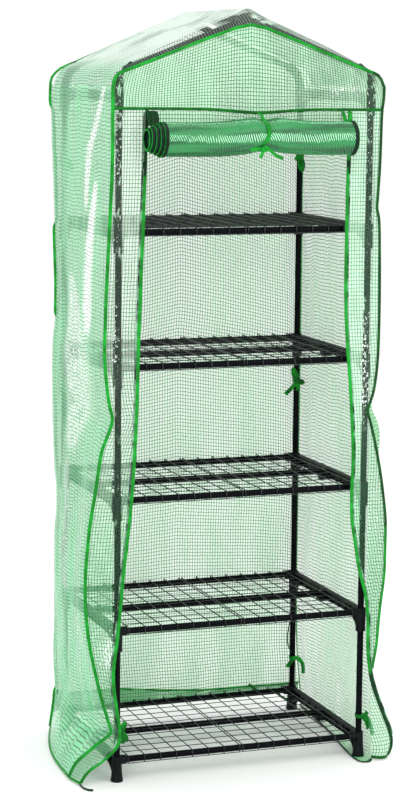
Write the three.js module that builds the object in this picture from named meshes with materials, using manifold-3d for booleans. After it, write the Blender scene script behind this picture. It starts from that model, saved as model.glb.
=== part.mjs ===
// A five-shelf mini greenhouse: push-fit steel tubes in moulded side brackets, wire shelves laid on the tubes,
// and a loose cover of mesh-reinforced film with a roll-up door. Millimetres. X is the width, the door faces -Y
// and Z is up. The origin is on the floor, at the centre of the whole outline.
import * as THREE from "three";
import { mergeVertices } from "three/addons/utils/BufferGeometryUtils.js";
import Module from "manifold-3d";

const wasm = await Module();
wasm.setup();

// Driving dimensions of the frame.
const POST_X = 325; // post centres, either side of the middle
const POST_Y = 225;
const SHELF_COUNT = 5;
const FIRST_LEVEL = 63; // top of the lowest side bracket
const LEVEL_PITCH = 325;
const TUBE_R = 8;
const TUBE_SIDES = 12;
const GAP = 0.3; // kept between touching pieces
const LEVELS = Array.from({ length: SHELF_COUNT }, (_, i) => FIRST_LEVEL + i * LEVEL_PITCH);
const EAVE_LEVEL = FIRST_LEVEL + SHELF_COUNT * LEVEL_PITCH;

// Side brackets: a beam front to back with a sleeve for a post at each end.
const BEAM_WIDTH = 16;
const BEAM_HEIGHT = 24;
const SLEEVE_R = 12.8;
const SLEEVE_DEPTH = 58; // below the bracket's top
const SLEEVE_RISE = 2; // above the bracket's top
const FOOT_TOP_R = 12;
const FOOT_BOTTOM_R = 15;
const FOOT_FLOOR = 10; // solid plastic under a post
const GUSSET_REACH = 62; // along the beam, from the sleeve
const BORE_R = 9.2; // its eight sides clear a tube by 0.5 mm
const BORE_SIDES = 8;
const SLEEVE_SIDES = 10;
const SHELF_TUBE_DROP = 9; // shelf tube axis below the bracket's top
const BOSS_R = 11;
const BOSS_END = 301; // inner end of the sockets, from the middle
const SOCKET_FLOOR = 314; // where a shelf tube ends inside its socket
const SHELF_TUBE_YS = { front: -POST_Y, middle: 0, rear: POST_Y };

// Roof frame: four sloping tubes that meet a ridge tube at two apex connectors.
const ROOF_SLOPE = 0.4; // rise over run
const RIDGE_AXIS_Z = 1863;
const SLOPE_TUBE_INNER_X = 12;
const SLOPE_TUBE_OUTER_X = 312;
const SOCKET_R = 11.5;

// Wire shelves: two grids side by side on each level.
const WIRE = 3;
const WIRE_PITCH = 42;
const CROSS_WIRES = 8;
const GRID_INNER_X = 4; // the cross wire next to the middle
const LONG_WIRE_YS = [-147, 0, 147];
const HOOK_DROP = 14; // of a cross wire's end, down the outer face of a tube

// Cover: 1.5 mm stands for the film and its reinforcing mesh.
const FILM = 1.5;
const COVER_X = 346;
const COVER_Y = 247;
const EAVE_Z = 1700; // where the side panels meet the roof
const HEADER_Z = 1645; // seam over the door
const ROOF_TOP_Z = 1889;
const REAR_HEM_Z = 70;
const PANEL_ROWS = 14;

// Rolled door.
const ROLL_R = 42;
const ROLL_Y = -295.2;
const ROLL_Z = 1580;
const ROLL_LEFT_X = -262;
const ROLL_RIGHT_X = 262;
const STRAP_X = 20;
const STRAP_WIDTH = 12;
const STRAP = 1.2;
const ROLL_SIDES = 20;

// Zip sliders, parked under the roll.
const SLIDER_Z = 1515;

const X_AXIS = new THREE.Vector3(1, 0, 0);
const Y_AXIS = new THREE.Vector3(0, 1, 0);
const Z_AXIS = new THREE.Vector3(0, 0, 1);
const at = (x, y, z) => new THREE.Vector3(x, y, z);

const MATERIALS = {
  tube: new THREE.MeshStandardMaterial({ color: 0x14181d, roughness: 0.35, metalness: 0.6 }),
  moulding: new THREE.MeshStandardMaterial({ color: 0x283032, roughness: 0.55, metalness: 0 }),
  wire: new THREE.MeshStandardMaterial({ color: 0x15191c, roughness: 0.4, metalness: 0.6 }),
  film: new THREE.MeshStandardMaterial({
    color: 0xbfe8cc,
    roughness: 0.3,
    metalness: 0,
    transparent: true,
    opacity: 0.5,
    side: THREE.DoubleSide,
  }),
  tape: new THREE.MeshStandardMaterial({ color: 0x1fa52e, roughness: 0.8, metalness: 0 }),
  slider: new THREE.MeshStandardMaterial({ color: 0x12331a, roughness: 0.45, metalness: 0 }),
};

// ---- Solids ----

function manifoldOf(geometry) {
  const bare = new THREE.BufferGeometry();
  bare.setAttribute("position", geometry.getAttribute("position"));
  bare.setIndex(geometry.index);
  const merged = mergeVertices(bare, 1e-3);
  const mesh = new wasm.Mesh({
    numProp: 3,
    vertProperties: new Float32Array(merged.attributes.position.array),
    triVerts: new Uint32Array(merged.index.array),
  });
  return new wasm.Manifold(mesh);
}

// The union of the first list of geometries, less those in the second.
function carved(added, removed = []) {
  let body = added.map(manifoldOf).reduce((sum, piece) => sum.add(piece));
  for (const cutter of removed) body = body.subtract(manifoldOf(cutter));
  const mesh = body.asOriginal().simplify(1e-3).getMesh();
  const geometry = new THREE.BufferGeometry();
  geometry.setAttribute("position", new THREE.BufferAttribute(mesh.vertProperties, 3));
  geometry.setIndex(new THREE.BufferAttribute(mesh.triVerts, 1));
  return geometry;
}

function rod(start, end, radius, sides, endRadius = radius) {
  const along = new THREE.Vector3().subVectors(end, start);
  const middle = new THREE.Vector3().addVectors(start, end).multiplyScalar(0.5);
  const geometry = new THREE.CylinderGeometry(endRadius, radius, along.length(), sides);
  geometry.applyQuaternion(new THREE.Quaternion().setFromUnitVectors(Y_AXIS, along.normalize()));
  return geometry.translate(middle.x, middle.y, middle.z);
}

function block(low, high) {
  const size = new THREE.Vector3().subVectors(high, low);
  const middle = new THREE.Vector3().addVectors(low, high).multiplyScalar(0.5);
  return new THREE.BoxGeometry(size.x, size.y, size.z).translate(middle.x, middle.y, middle.z);
}

// An outline drawn in Y and Z, extruded along X from x0.
function acrossX(shape, x0, width, curveSegments = 5) {
  const geometry = new THREE.ExtrudeGeometry(shape, { depth: width, bevelEnabled: false, curveSegments });
  geometry.applyMatrix4(new THREE.Matrix4().makeBasis(Y_AXIS, Z_AXIS, X_AXIS));
  return geometry.translate(x0, 0, 0);
}

// An outline drawn in X and Z, extruded along Y and centred on y.
function acrossY(shape, y, depth) {
  const geometry = new THREE.ExtrudeGeometry(shape, { depth, bevelEnabled: false });
  geometry.applyMatrix4(new THREE.Matrix4().makeBasis(X_AXIS, Z_AXIS, Y_AXIS.clone().negate()));
  return geometry.translate(0, y + depth / 2, 0);
}

// A thin closed solid on the surface through where(u, v), with u and v from 0 to 1.
function sheet(columns, rows, where) {
  const grid = [];
  for (let r = 0; r <= rows; r++)
    for (let c = 0; c <= columns; c++) grid.push(where(c / columns, r / rows));
  const index = (c, r) => r * (columns + 1) + c;
  const point = (c, r) => grid[index(THREE.MathUtils.clamp(c, 0, columns), THREE.MathUtils.clamp(r, 0, rows))];
  const positions = [];
  for (const side of [1, -1])
    for (let r = 0; r <= rows; r++)
      for (let c = 0; c <= columns; c++) {
        const across = new THREE.Vector3().subVectors(point(c + 1, r), point(c - 1, r));
        const down = new THREE.Vector3().subVectors(point(c, r + 1), point(c, r - 1));
        const normal = across.cross(down).normalize();
        positions.push(...point(c, r).clone().addScaledVector(normal, (side * FILM) / 2).toArray());
      }
  const back = grid.length;
  const faces = [];
  const quad = (a, b, c, d) => faces.push(a, b, c, a, c, d);
  for (let r = 0; r < rows; r++)
    for (let c = 0; c < columns; c++) {
      const [a, b, d, e] = [index(c, r), index(c + 1, r), index(c + 1, r + 1), index(c, r + 1)];
      quad(a, b, d, e);
      quad(a + back, e + back, d + back, b + back);
    }
  const rim = [];
  for (let c = 0; c < columns; c++) rim.push([index(c, 0), index(c + 1, 0)]);
  for (let r = 0; r < rows; r++) rim.push([index(columns, r), index(columns, r + 1)]);
  for (let c = columns; c > 0; c--) rim.push([index(c, rows), index(c - 1, rows)]);
  for (let r = rows; r > 0; r--) rim.push([index(0, r), index(0, r - 1)]);
  for (const [a, b] of rim) quad(b, a, a + back, b + back);
  const geometry = new THREE.BufferGeometry();
  geometry.setAttribute("position", new THREE.Float32BufferAttribute(positions, 3));
  geometry.setIndex(faces);
  return geometry;
}

// ---- Assembly ----

// The model is laid out about the middle of the four posts and then moved, because the rolled door stands proud.
const FRONT_REACH = -ROLL_Y + ROLL_R + STRAP;
const REAR_REACH = COVER_Y + FILM / 2;
const frame = new THREE.Group();
frame.position.y = (FRONT_REACH - REAR_REACH) / 2;

function place(name, geometry, material) {
  const mesh = new THREE.Mesh(geometry, material);
  mesh.name = name;
  frame.add(mesh);
}

const SIDES = { left: -1, right: 1 };
const ENDS = { front: -1, rear: 1 };

// ---- Frame ----

const slopeZ = (x) => RIDGE_AXIS_Z - ROOF_SLOPE * Math.abs(x);

// The beam and its two gussets, in Y and Z, with the bracket's top at z = 0.
function bracketOutline(depth) {
  const inner = POST_Y - SLEEVE_R + 1;
  const shape = new THREE.Shape();
  shape.moveTo(-POST_Y, 0);
  shape.lineTo(-POST_Y, -depth);
  shape.lineTo(-inner, -depth);
  shape.quadraticCurveTo(-inner + 6, -BEAM_HEIGHT - 3, -inner + GUSSET_REACH, -BEAM_HEIGHT);
  shape.lineTo(inner - GUSSET_REACH, -BEAM_HEIGHT);
  shape.quadraticCurveTo(inner - 6, -BEAM_HEIGHT - 3, inner, -depth);
  shape.lineTo(POST_Y, -depth);
  shape.lineTo(POST_Y, 0);
  return shape;
}

// A side bracket with sleeves for two posts. side is -1 or 1, and isFoot closes and flares the sleeves.
function bracketPieces(side, level, isFoot) {
  const x = side * POST_X;
  const depth = isFoot ? level : SLEEVE_DEPTH;
  const added = [acrossX(bracketOutline(depth), x - BEAM_WIDTH / 2, BEAM_WIDTH).translate(0, 0, level)];
  const removed = [];
  for (const end of Object.values(ENDS)) {
    const y = end * POST_Y;
    const bottom = at(x, y, level - depth);
    const top = at(x, y, level + SLEEVE_RISE);
    const bottomR = isFoot ? FOOT_BOTTOM_R : SLEEVE_R;
    const topR = isFoot ? FOOT_TOP_R : SLEEVE_R;
    added.push(rod(bottom, top, bottomR, SLEEVE_SIDES, topR));
    const boreStart = isFoot ? FOOT_FLOOR : level - depth - 1;
    removed.push(rod(at(x, y, boreStart), at(x, y, level + 10), BORE_R, BORE_SIDES));
  }
  return { added, removed };
}

function shelfBracket(side, level, isFoot) {
  const { added, removed } = bracketPieces(side, level, isFoot);
  const z = level - SHELF_TUBE_DROP;
  for (const [place, y] of Object.entries(SHELF_TUBE_YS)) {
    const root = at(side * (POST_X - 2), y, z);
    const mouth = at(side * BOSS_END, y, z);
    if (place === "middle") {
      const reach = [side * BOSS_END, side * POST_X].sort((a, b) => a - b);
      added.push(block(at(reach[0], -BOSS_R, z - 22), at(reach[1], BOSS_R, level - 1)));
    } else {
      added.push(rod(root, mouth, BOSS_R, SLEEVE_SIDES));
    }
    removed.push(rod(at(side * SOCKET_FLOOR, y, z), at(side * (BOSS_END - 5), y, z), BORE_R, BORE_SIDES));
  }
  return carved(added, removed);
}

// The eave bracket has the same beam, and an elbow over each sleeve that turns a post's line up the roof slope.
function eaveBracket(side) {
  const { added, removed } = bracketPieces(side, EAVE_LEVEL, false);
  const mouthX = 290;
  for (const end of Object.values(ENDS)) {
    const y = end * POST_Y;
    const bend = at(side * POST_X, y, slopeZ(POST_X));
    const mouth = at(side * mouthX, y, slopeZ(mouthX));
    const line = new THREE.QuadraticBezierCurve3(at(side * POST_X, y, EAVE_LEVEL - 20), bend, mouth);
    const section = new THREE.Shape().absarc(0, 0, SOCKET_R, 0, 2 * Math.PI);
    const steps = { steps: 6, curveSegments: 5, extrudePath: line };
    added.push(new THREE.ExtrudeGeometry(section, steps));
    const boreFloorX = SLOPE_TUBE_OUTER_X + 1;
    const boreFloor = at(side * boreFloorX, y, slopeZ(boreFloorX));
    removed.push(rod(boreFloor, at(side * (mouthX - 8), y, slopeZ(mouthX - 8)), BORE_R, BORE_SIDES));
  }
  return carved(added, removed);
}

// A hub with a socket for each sloping tube and one for the ridge tube.
function apexConnector(end) {
  const y = end * POST_Y;
  const hub = at(0, y, RIDGE_AXIS_Z);
  const reachX = 36;
  const ridgeMouthY = y - end * 34;
  const added = [rod(hub, at(0, ridgeMouthY, RIDGE_AXIS_Z), SOCKET_R, SLEEVE_SIDES)];
  const removed = [rod(at(0, y - end * 10, RIDGE_AXIS_Z), at(0, y - end * 40, RIDGE_AXIS_Z), BORE_R, BORE_SIDES)];
  for (const side of Object.values(SIDES)) {
    const boreFloorX = SLOPE_TUBE_INNER_X - 1;
    added.push(rod(hub, at(side * reachX, y, slopeZ(reachX)), SOCKET_R, SLEEVE_SIDES));
    const floor = at(side * boreFloorX, y, slopeZ(boreFloorX));
    removed.push(rod(floor, at(side * (reachX + 8), y, slopeZ(reachX + 8)), BORE_R, BORE_SIDES));
  }
  return carved(added, removed);
}

// One wire shelf: cross wires hooked over the front and rear tubes, joined by long wires.
function shelfGrid(side, level) {
  const bottom = level - SHELF_TUBE_DROP + TUBE_R + GAP;
  const hookInner = POST_Y + TUBE_R + 0.5;
  const hookOuter = hookInner + WIRE;
  const hook = new THREE.Shape();
  hook.moveTo(-hookOuter, bottom - HOOK_DROP);
  hook.lineTo(-hookInner, bottom - HOOK_DROP);
  hook.lineTo(-hookInner, bottom);
  hook.lineTo(hookInner, bottom);
  hook.lineTo(hookInner, bottom - HOOK_DROP);
  hook.lineTo(hookOuter, bottom - HOOK_DROP);
  hook.lineTo(hookOuter, bottom + WIRE);
  hook.lineTo(-hookOuter, bottom + WIRE);
  const wires = [];
  for (let i = 0; i < CROSS_WIRES; i++) {
    const x = side * (GRID_INNER_X + i * WIRE_PITCH);
    wires.push(acrossX(hook, x - WIRE / 2, WIRE));
  }
  const ends = [side * GRID_INNER_X, side * (GRID_INNER_X + (CROSS_WIRES - 1) * WIRE_PITCH)].sort((a, b) => a - b);
  for (const y of LONG_WIRE_YS) {
    const low = at(ends[0] - WIRE / 2, y - WIRE / 2, bottom);
    wires.push(block(low, at(ends[1] + WIRE / 2, y + WIRE / 2, bottom + WIRE)));
  }
  return carved(wires);
}

for (const [sideName, side] of Object.entries(SIDES)) {
  for (const [endName, end] of Object.entries(ENDS)) {
    const foot = at(side * POST_X, end * POST_Y, FOOT_FLOOR + GAP);
    const head = at(side * POST_X, end * POST_Y, EAVE_LEVEL + SLEEVE_RISE - 24);
    place(`upright_${endName}_${sideName}`, rod(foot, head, TUBE_R, TUBE_SIDES), MATERIALS.tube);
    const low = at(side * SLOPE_TUBE_OUTER_X, end * POST_Y, slopeZ(SLOPE_TUBE_OUTER_X));
    const high = at(side * SLOPE_TUBE_INNER_X, end * POST_Y, slopeZ(SLOPE_TUBE_INNER_X));
    place(`roof_tube_${endName}_${sideName}`, rod(low, high, TUBE_R, TUBE_SIDES), MATERIALS.tube);
  }
  place(`eave_bracket_${sideName}`, eaveBracket(side), MATERIALS.moulding);
}

LEVELS.forEach((level, i) => {
  const shelf = `shelf${i + 1}`;
  for (const [sideName, side] of Object.entries(SIDES)) {
    place(`${shelf}_bracket_${sideName}`, shelfBracket(side, level, i === 0), MATERIALS.moulding);
    place(`${shelf}_grid_${sideName}`, shelfGrid(side, level), MATERIALS.wire);
  }
  for (const [tubeName, y] of Object.entries(SHELF_TUBE_YS)) {
    const z = level - SHELF_TUBE_DROP;
    const half = SOCKET_FLOOR - GAP;
    place(`${shelf}_tube_${tubeName}`, rod(at(-half, y, z), at(half, y, z), TUBE_R, TUBE_SIDES), MATERIALS.tube);
  }
});

for (const [endName, end] of Object.entries(ENDS))
  place(`apex_connector_${endName}`, apexConnector(end), MATERIALS.moulding);

const ridgeEndY = POST_Y - 11;
const ridgeTube = rod(at(0, -ridgeEndY, RIDGE_AXIS_Z), at(0, ridgeEndY, RIDGE_AXIS_Z), TUBE_R, TUBE_SIDES);
place("ridge_tube", ridgeTube, MATERIALS.tube);

// ---- Cover ----

// The cover is cut full, so its front corner seams and door edges wander, and the skirt splays out on the floor.
// Each line runs from the top down.
const curve = (points) => new THREE.CatmullRomCurve3(points.map((p) => at(...p)), false, "centripetal");
const CORNER_SEAM = {
  left: curve([
    [-346, -247, EAVE_Z], [-347, -247, 1520], [-352, -245, 1340], [-358, -243, 1110], [-350, -246, 920],
    [-372, -240, 800], [-392, -225, 640], [-402, -215, 490], [-392, -218, 370], [-366, -236, 230],
    [-350, -246, 150], [-378, -232, 100], [-420, -200, 48], [-434, -180, 8],
  ]),
  right: curve([
    [346, -247, EAVE_Z], [345, -247, 1500], [344, -247, 1250], [346, -247, 1060], [343, -246, 910],
    [350, -248, 760], [368, -250, 670], [374, -250, 550], [366, -248, 420], [350, -247, 300],
    [346, -248, 200], [346, -252, 110], [345, -258, 50], [344, -262, 8],
  ]),
};
const DOOR_EDGE = {
  left: curve([
    [-265, -247, HEADER_Z - GAP], [-272, -247, 1400], [-280, -247, 1110], [-287, -247, 860], [-300, -249, 680],
    [-318, -252, 530], [-332, -258, 380], [-343, -266, 280], [-336, -282, 200], [-334, -288, 150],
    [-340, -286, 112], [-374, -275, 74], [-410, -256, 40], [-422, -236, 8],
  ]),
  right: curve([
    [259, -247, HEADER_Z - GAP], [257, -247, 1400], [259, -247, 1150], [275, -248, 950], [284, -250, 790],
    [281, -252, 680], [294, -255, 560], [318, -262, 450], [326, -278, 350], [328, -300, 260],
    [348, -292, 172], [380, -270, 122], [408, -242, 82], [428, -200, 42], [408, -232, 8],
  ]),
};

// The film line of the roof in X and Z: up the side, round the eave, up to a soft ridge and down again.
function roofLine() {
  const eaveX = 312;
  const eaveZ = 1757;
  const ridgeX = 24;
  const ridgeZ = ROOF_TOP_Z - 9;
  const path = new THREE.Path();
  path.moveTo(-COVER_X, EAVE_Z + GAP);
  path.lineTo(-COVER_X, 1712);
  path.quadraticCurveTo(-COVER_X, 1743, -eaveX, eaveZ);
  path.lineTo(-ridgeX, ridgeZ);
  path.quadraticCurveTo(0, ROOF_TOP_Z + 1, ridgeX, ridgeZ);
  path.lineTo(eaveX, eaveZ);
  path.quadraticCurveTo(COVER_X, 1743, COVER_X, 1712);
  path.lineTo(COVER_X, EAVE_Z + GAP);
  return path.getPoints(4);
}

function roof() {
  const line = roofLine();
  const halfDepth = COVER_Y - FILM / 2 - GAP;
  const columns = line.length - 1;
  return sheet(columns, 1, (u, v) => {
    const p = line[Math.round(u * columns)];
    return at(p.x, halfDepth * (1 - 2 * v), p.y);
  });
}

// A flat end of the cover, from bottomZ up to the roof line.
function endPanel(y, bottomZ) {
  const line = roofLine();
  const shape = new THREE.Shape([
    new THREE.Vector2(-COVER_X, bottomZ),
    new THREE.Vector2(COVER_X, bottomZ),
    ...line.reverse(),
  ]);
  return acrossY(shape, y, FILM);
}

// A side panel, between its front corner seam and the rear corner, fullest in the middle near the floor.
function sidePanel(sideName, fullness) {
  const side = SIDES[sideName];
  const seam = CORNER_SEAM[sideName];
  return sheet(3, PANEL_ROWS, (u, v) => {
    const front = seam.getPoint(v);
    front.y += 2.5;
    front.z -= GAP;
    const rear = at(side * (COVER_X + 4 * v), COVER_Y - 2, front.z);
    const low = 1 - front.z / EAVE_Z;
    const across = side > 0 ? u : 1 - u;
    const middle = front.lerp(rear, across);
    middle.x += side * fullness * low ** 4 * Math.sin(Math.PI * across);
    return middle;
  });
}

// The point of a falling line at a given height, found by halving.
function atHeight(line, z) {
  let [above, below] = [0, 1];
  for (let i = 0; i < 24; i++) {
    const middle = (above + below) / 2;
    if (line.getPoint(middle).z > z) above = middle;
    else below = middle;
  }
  return line.getPoint(below);
}

// The strip of film between a front corner seam and the door's edge, from just inside the seam.
function frontStrip(sideName) {
  const inset = 0.04;
  const seam = CORNER_SEAM[sideName];
  const edge = DOOR_EDGE[sideName];
  return sheet(2, PANEL_ROWS, (u, v) => {
    const outer = seam.getPoint(v);
    outer.z = Math.min(outer.z, HEADER_Z - GAP);
    const across = SIDES[sideName] > 0 ? 1 - u : u;
    return outer.lerp(atHeight(edge, outer.z), inset + (1 - inset) * across);
  });
}

place("cover_roof", roof(), MATERIALS.film);
place("cover_front_gable", endPanel(-COVER_Y, HEADER_Z), MATERIALS.film);
place("cover_rear_panel", endPanel(COVER_Y, REAR_HEM_Z), MATERIALS.film);
place("cover_side_left", sidePanel("left", 22), MATERIALS.film);
place("cover_side_right", sidePanel("right", 6), MATERIALS.film);
for (const sideName of Object.keys(SIDES))
  place(`cover_strip_${sideName}`, frontStrip(sideName), MATERIALS.film);

// ---- Rolled door ----

const CURTAIN_Y = -250;
const CURTAIN_BOTTOM_Z = 1600;
const curtain = block(at(-255, CURTAIN_Y - 0.6, CURTAIN_BOTTOM_Z), at(255, CURTAIN_Y + 0.6, HEADER_Z - 2));
place("door_curtain", curtain, MATERIALS.film);
const roll = rod(at(ROLL_LEFT_X, ROLL_Y, ROLL_Z), at(ROLL_RIGHT_X, ROLL_Y, ROLL_Z), ROLL_R, ROLL_SIDES);
place("door_roll", roll, MATERIALS.film);

// The tie passes from the header seam round the roll: an outline of two tangents and an arc, in Y and Z.
function strapOutline(radius, top) {
  const toTop = new THREE.Vector2(top.x - ROLL_Y, top.y - ROLL_Z);
  const spread = Math.acos(radius / toTop.length());
  const heading = toTop.angle();
  const shape = new THREE.Shape();
  shape.absarc(ROLL_Y, ROLL_Z, radius, heading + spread, heading - spread + 2 * Math.PI);
  shape.lineTo(top.x, top.y);
  return shape;
}

function doorTie() {
  const inner = ROLL_R + 0.5;
  const shape = strapOutline(inner + STRAP, new THREE.Vector2(-253, 1640));
  shape.holes.push(strapOutline(inner, new THREE.Vector2(-254, 1637)));
  return acrossX(shape, STRAP_X - STRAP_WIDTH / 2, STRAP_WIDTH, 12);
}
place("door_tie", doorTie(), MATERIALS.tape);

// ---- Zip sliders ----

// A slider body with its pull, centred on the door's edge.
function zipSlider(sideName) {
  const { x } = atHeight(DOOR_EDGE[sideName], SLIDER_Z);
  const body = block(at(x - 5, -253, SLIDER_Z - 8), at(x + 5, -248.8, SLIDER_Z + 8));
  const pull = block(at(x - 2.5, -253.8, SLIDER_Z - 26), at(x + 2.5, -252.5, SLIDER_Z + 4));
  return carved([body, pull]);
}
for (const sideName of Object.keys(SIDES))
  place(`zip_slider_${sideName}`, zipSlider(sideName), MATERIALS.slider);

const root = new THREE.Group();
root.add(frame);
export default root;
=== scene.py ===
"""The looks of a five-shelf mini greenhouse.

A push-fit tube frame with wire shelves stands under a loose film cover.
"""

import math

import bmesh
import bpy
import numpy as np
from mathutils import Matrix, Vector, noise


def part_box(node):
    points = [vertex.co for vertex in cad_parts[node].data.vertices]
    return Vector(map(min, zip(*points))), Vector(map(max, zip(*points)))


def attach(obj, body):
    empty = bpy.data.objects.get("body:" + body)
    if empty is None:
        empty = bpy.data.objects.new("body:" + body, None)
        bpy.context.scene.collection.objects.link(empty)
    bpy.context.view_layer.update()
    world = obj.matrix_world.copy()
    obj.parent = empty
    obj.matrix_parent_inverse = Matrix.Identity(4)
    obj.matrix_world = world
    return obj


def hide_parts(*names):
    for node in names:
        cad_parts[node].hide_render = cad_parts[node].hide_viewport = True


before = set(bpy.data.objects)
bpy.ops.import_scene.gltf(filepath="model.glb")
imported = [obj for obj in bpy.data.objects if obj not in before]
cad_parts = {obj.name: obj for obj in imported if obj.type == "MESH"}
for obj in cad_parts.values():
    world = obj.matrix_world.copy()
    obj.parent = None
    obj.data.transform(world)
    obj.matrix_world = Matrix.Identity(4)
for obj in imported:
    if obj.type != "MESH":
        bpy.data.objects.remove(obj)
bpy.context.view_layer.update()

ROOT = "frame_and_cover"
SIDES = {"left": -1, "right": 1}
ENDS = {"front": -1, "rear": 1}

# ---- Sizes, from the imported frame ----
# Shapes are laid out about the middle of the four posts, then moved back by MID_Y.


def centre(node):
    low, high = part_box(node)
    return (low + high) / 2


MID_Y = (centre("upright_front_left").y + centre("upright_rear_left").y) / 2
POST_X = centre("upright_front_right").x
POST_Y = centre("upright_rear_left").y - MID_Y
TUBE_R = 0.008
TUBE_DROP = 0.009  # from a shelf's level down to the middle of its tubes
LEVELS = [centre(f"shelf{i}_tube_front").z + TUBE_DROP for i in range(1, 6)]
EAVE_LEVEL = LEVELS[-1] + LEVELS[1] - LEVELS[0]
RIDGE_Z = centre("ridge_tube").z
ROOF_SLOPE = 0.4
FRONT_Y = -0.247
HEADER_Z = 1.645
EAVE_Z = 1.700
TAPE = 0.0085
ROOF_KNEE = 0.312  # how far out the roof tubes end and the film turns down
GABLE_HALF = 0.346
SOFT_EDGE = math.radians(38)  # edges sharper than this are bevelled and shaded sharp


def slope_z(x):
    return RIDGE_Z - ROOF_SLOPE * abs(x)


# ---- Camera, light and floor ----

camera_data = bpy.data.cameras.new("camera")
camera_data.sensor_fit = "AUTO"
camera_data.sensor_width = 36
camera_data.lens = 101.84
camera = bpy.data.objects.new("camera", camera_data)
bpy.context.scene.collection.objects.link(camera)
yaw, pitch, roll = math.radians(20.142), math.radians(8.532), math.radians(0.506)
forward = Vector(
    (math.sin(yaw) * math.cos(pitch), math.cos(yaw) * math.cos(pitch), -math.sin(pitch))
)
level_right = Vector((math.cos(yaw), -math.sin(yaw), 0))
level_up = level_right.cross(forward)
cam_right = level_right * math.cos(roll) + level_up * math.sin(roll)
cam_up = level_up * math.cos(roll) - level_right * math.sin(roll)
camera.matrix_world = Matrix.Translation((-1.98314, -5.35467 + MID_Y, 1.76158)) @ Matrix(
    (cam_right, cam_up, -forward)
).transposed().to_4x4()
bpy.context.scene.camera = camera
bpy.context.scene.view_settings.view_transform = "Standard"

world = bpy.data.worlds.new("studio")
bpy.context.scene.world = world
world.use_nodes = True
world.node_tree.nodes["Background"].inputs["Color"].default_value = (1, 1, 1, 1)
world.node_tree.nodes["Background"].inputs["Strength"].default_value = 1.05


def area_light(name, place, target, size, power):
    light = bpy.data.lights.new(name, "AREA")
    light.shape = "RECTANGLE"
    light.size, light.size_y = size
    light.energy = power
    holder = bpy.data.objects.new(name, light)
    bpy.context.scene.collection.objects.link(holder)
    holder.location = place
    aim = Vector(target) - Vector(place)
    holder.rotation_euler = aim.to_track_quat("-Z", "Y").to_euler()


area_light("key", (-2.4, -4.2, 3.8), (0, 0, 0.8), (1.4, 2.2), 95)
area_light("fill", (3.0, -3.4, 2.2), (0, 0, 0.9), (1.2, 2.4), 20)
area_light("top", (0.2, 0.4, 4.2), (0, 0, 0.0), (1.6, 1.6), 30)
area_light("floor", (0.5, -2.3, 3.0), (0.25, -1.3, 0), (2.0, 1.2), 14)
area_light("rim", (-1.8, 3.7, 1.7), (-0.35, 0, 1.2), (0.3, 2.2), 4)


# ---- Materials ----


class Nodes:
    """A short way to write a material's node tree."""

    def __init__(self, name):
        self.material = bpy.data.materials.new(name)
        self.material.use_nodes = True
        self.tree = self.material.node_tree
        self.surface = self.tree.nodes["Principled BSDF"]

    def add(self, kind, inputs=None, **settings):
        node = self.tree.nodes.new(kind)
        for key, value in settings.items():
            setattr(node, key, value)
        for key, value in (inputs or {}).items():
            self.put(node.inputs[key], value)
        return node

    def put(self, socket, value):
        if isinstance(value, bpy.types.NodeSocket):
            self.tree.links.new(value, socket)
        else:
            socket.default_value = value

    def math(self, operation, a, b=0.0):
        return self.add("ShaderNodeMath", {0: a, 1: b}, operation=operation).outputs[0]

    def mix(self, factor, a, b):
        node = self.add("ShaderNodeMix", data_type="RGBA")
        self.put(node.inputs["Factor"], factor)
        self.put(node.inputs["A"], a)
        self.put(node.inputs["B"], b)
        return node.outputs["Result"]

    def between(self, value, low, high, to_low=0.0, to_high=1.0):
        node = self.add(
            "ShaderNodeMapRange",
            {"Value": value, "From Min": low, "From Max": high, "To Min": to_low, "To Max": to_high},
            interpolation_type="SMOOTHSTEP",
        )
        return node.outputs["Result"]

    def object_noise(self, scale, stretch=(1, 1, 1), detail=2.0, roughness=0.5):
        place = self.add("ShaderNodeTexCoord").outputs["Object"]
        mapping = self.add("ShaderNodeMapping", {"Vector": place, "Scale": stretch})
        return self.add(
            "ShaderNodeTexNoise",
            {
                "Vector": mapping.outputs["Vector"],
                "Scale": scale,
                "Detail": detail,
                "Roughness": roughness,
            },
        ).outputs["Fac"]

    def bump(self, height, strength, distance):
        return self.add(
            "ShaderNodeBump", {"Height": height, "Strength": strength, "Distance": distance}
        ).outputs["Normal"]

    def set(self, **values):
        for key, value in values.items():
            self.put(self.surface.inputs[key.replace("_", " ")], value)


POST_CONTACT_X = -0.008  # the film meets both front posts this far along X from their middles
MESH_PITCH = (0.0073, 0.0093)  # of the film's reinforcing threads, across and down


def thread_mask(n, widths, wander=0.002):
    """1 on a reinforcing thread, from UVs in metres. wander is how far the threads stray from straight."""
    uv = n.add("ShaderNodeUVMap", uv_map="film").outputs["UV"]
    parts = n.add("ShaderNodeSeparateXYZ", {0: uv})
    masks = []
    for axis, pitch, width in zip("XY", MESH_PITCH, widths):
        if not width:
            continue
        stretch = (0.25, 0.25, 1) if axis == "X" else (1, 1, 0.12)
        drift = n.math("SUBTRACT", n.object_noise(26, stretch, 1, 0.5), 0.5)
        place = n.math("ADD", parts.outputs[axis], n.math("MULTIPLY", drift, wander))
        wave = n.math("PINGPONG", place, pitch / 2)
        masks.append(n.between(wave, width / 2, width / 2 + 0.0004, 1.0, 0.0))
    return n.math("MAXIMUM", masks[0], masks[-1])


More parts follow.
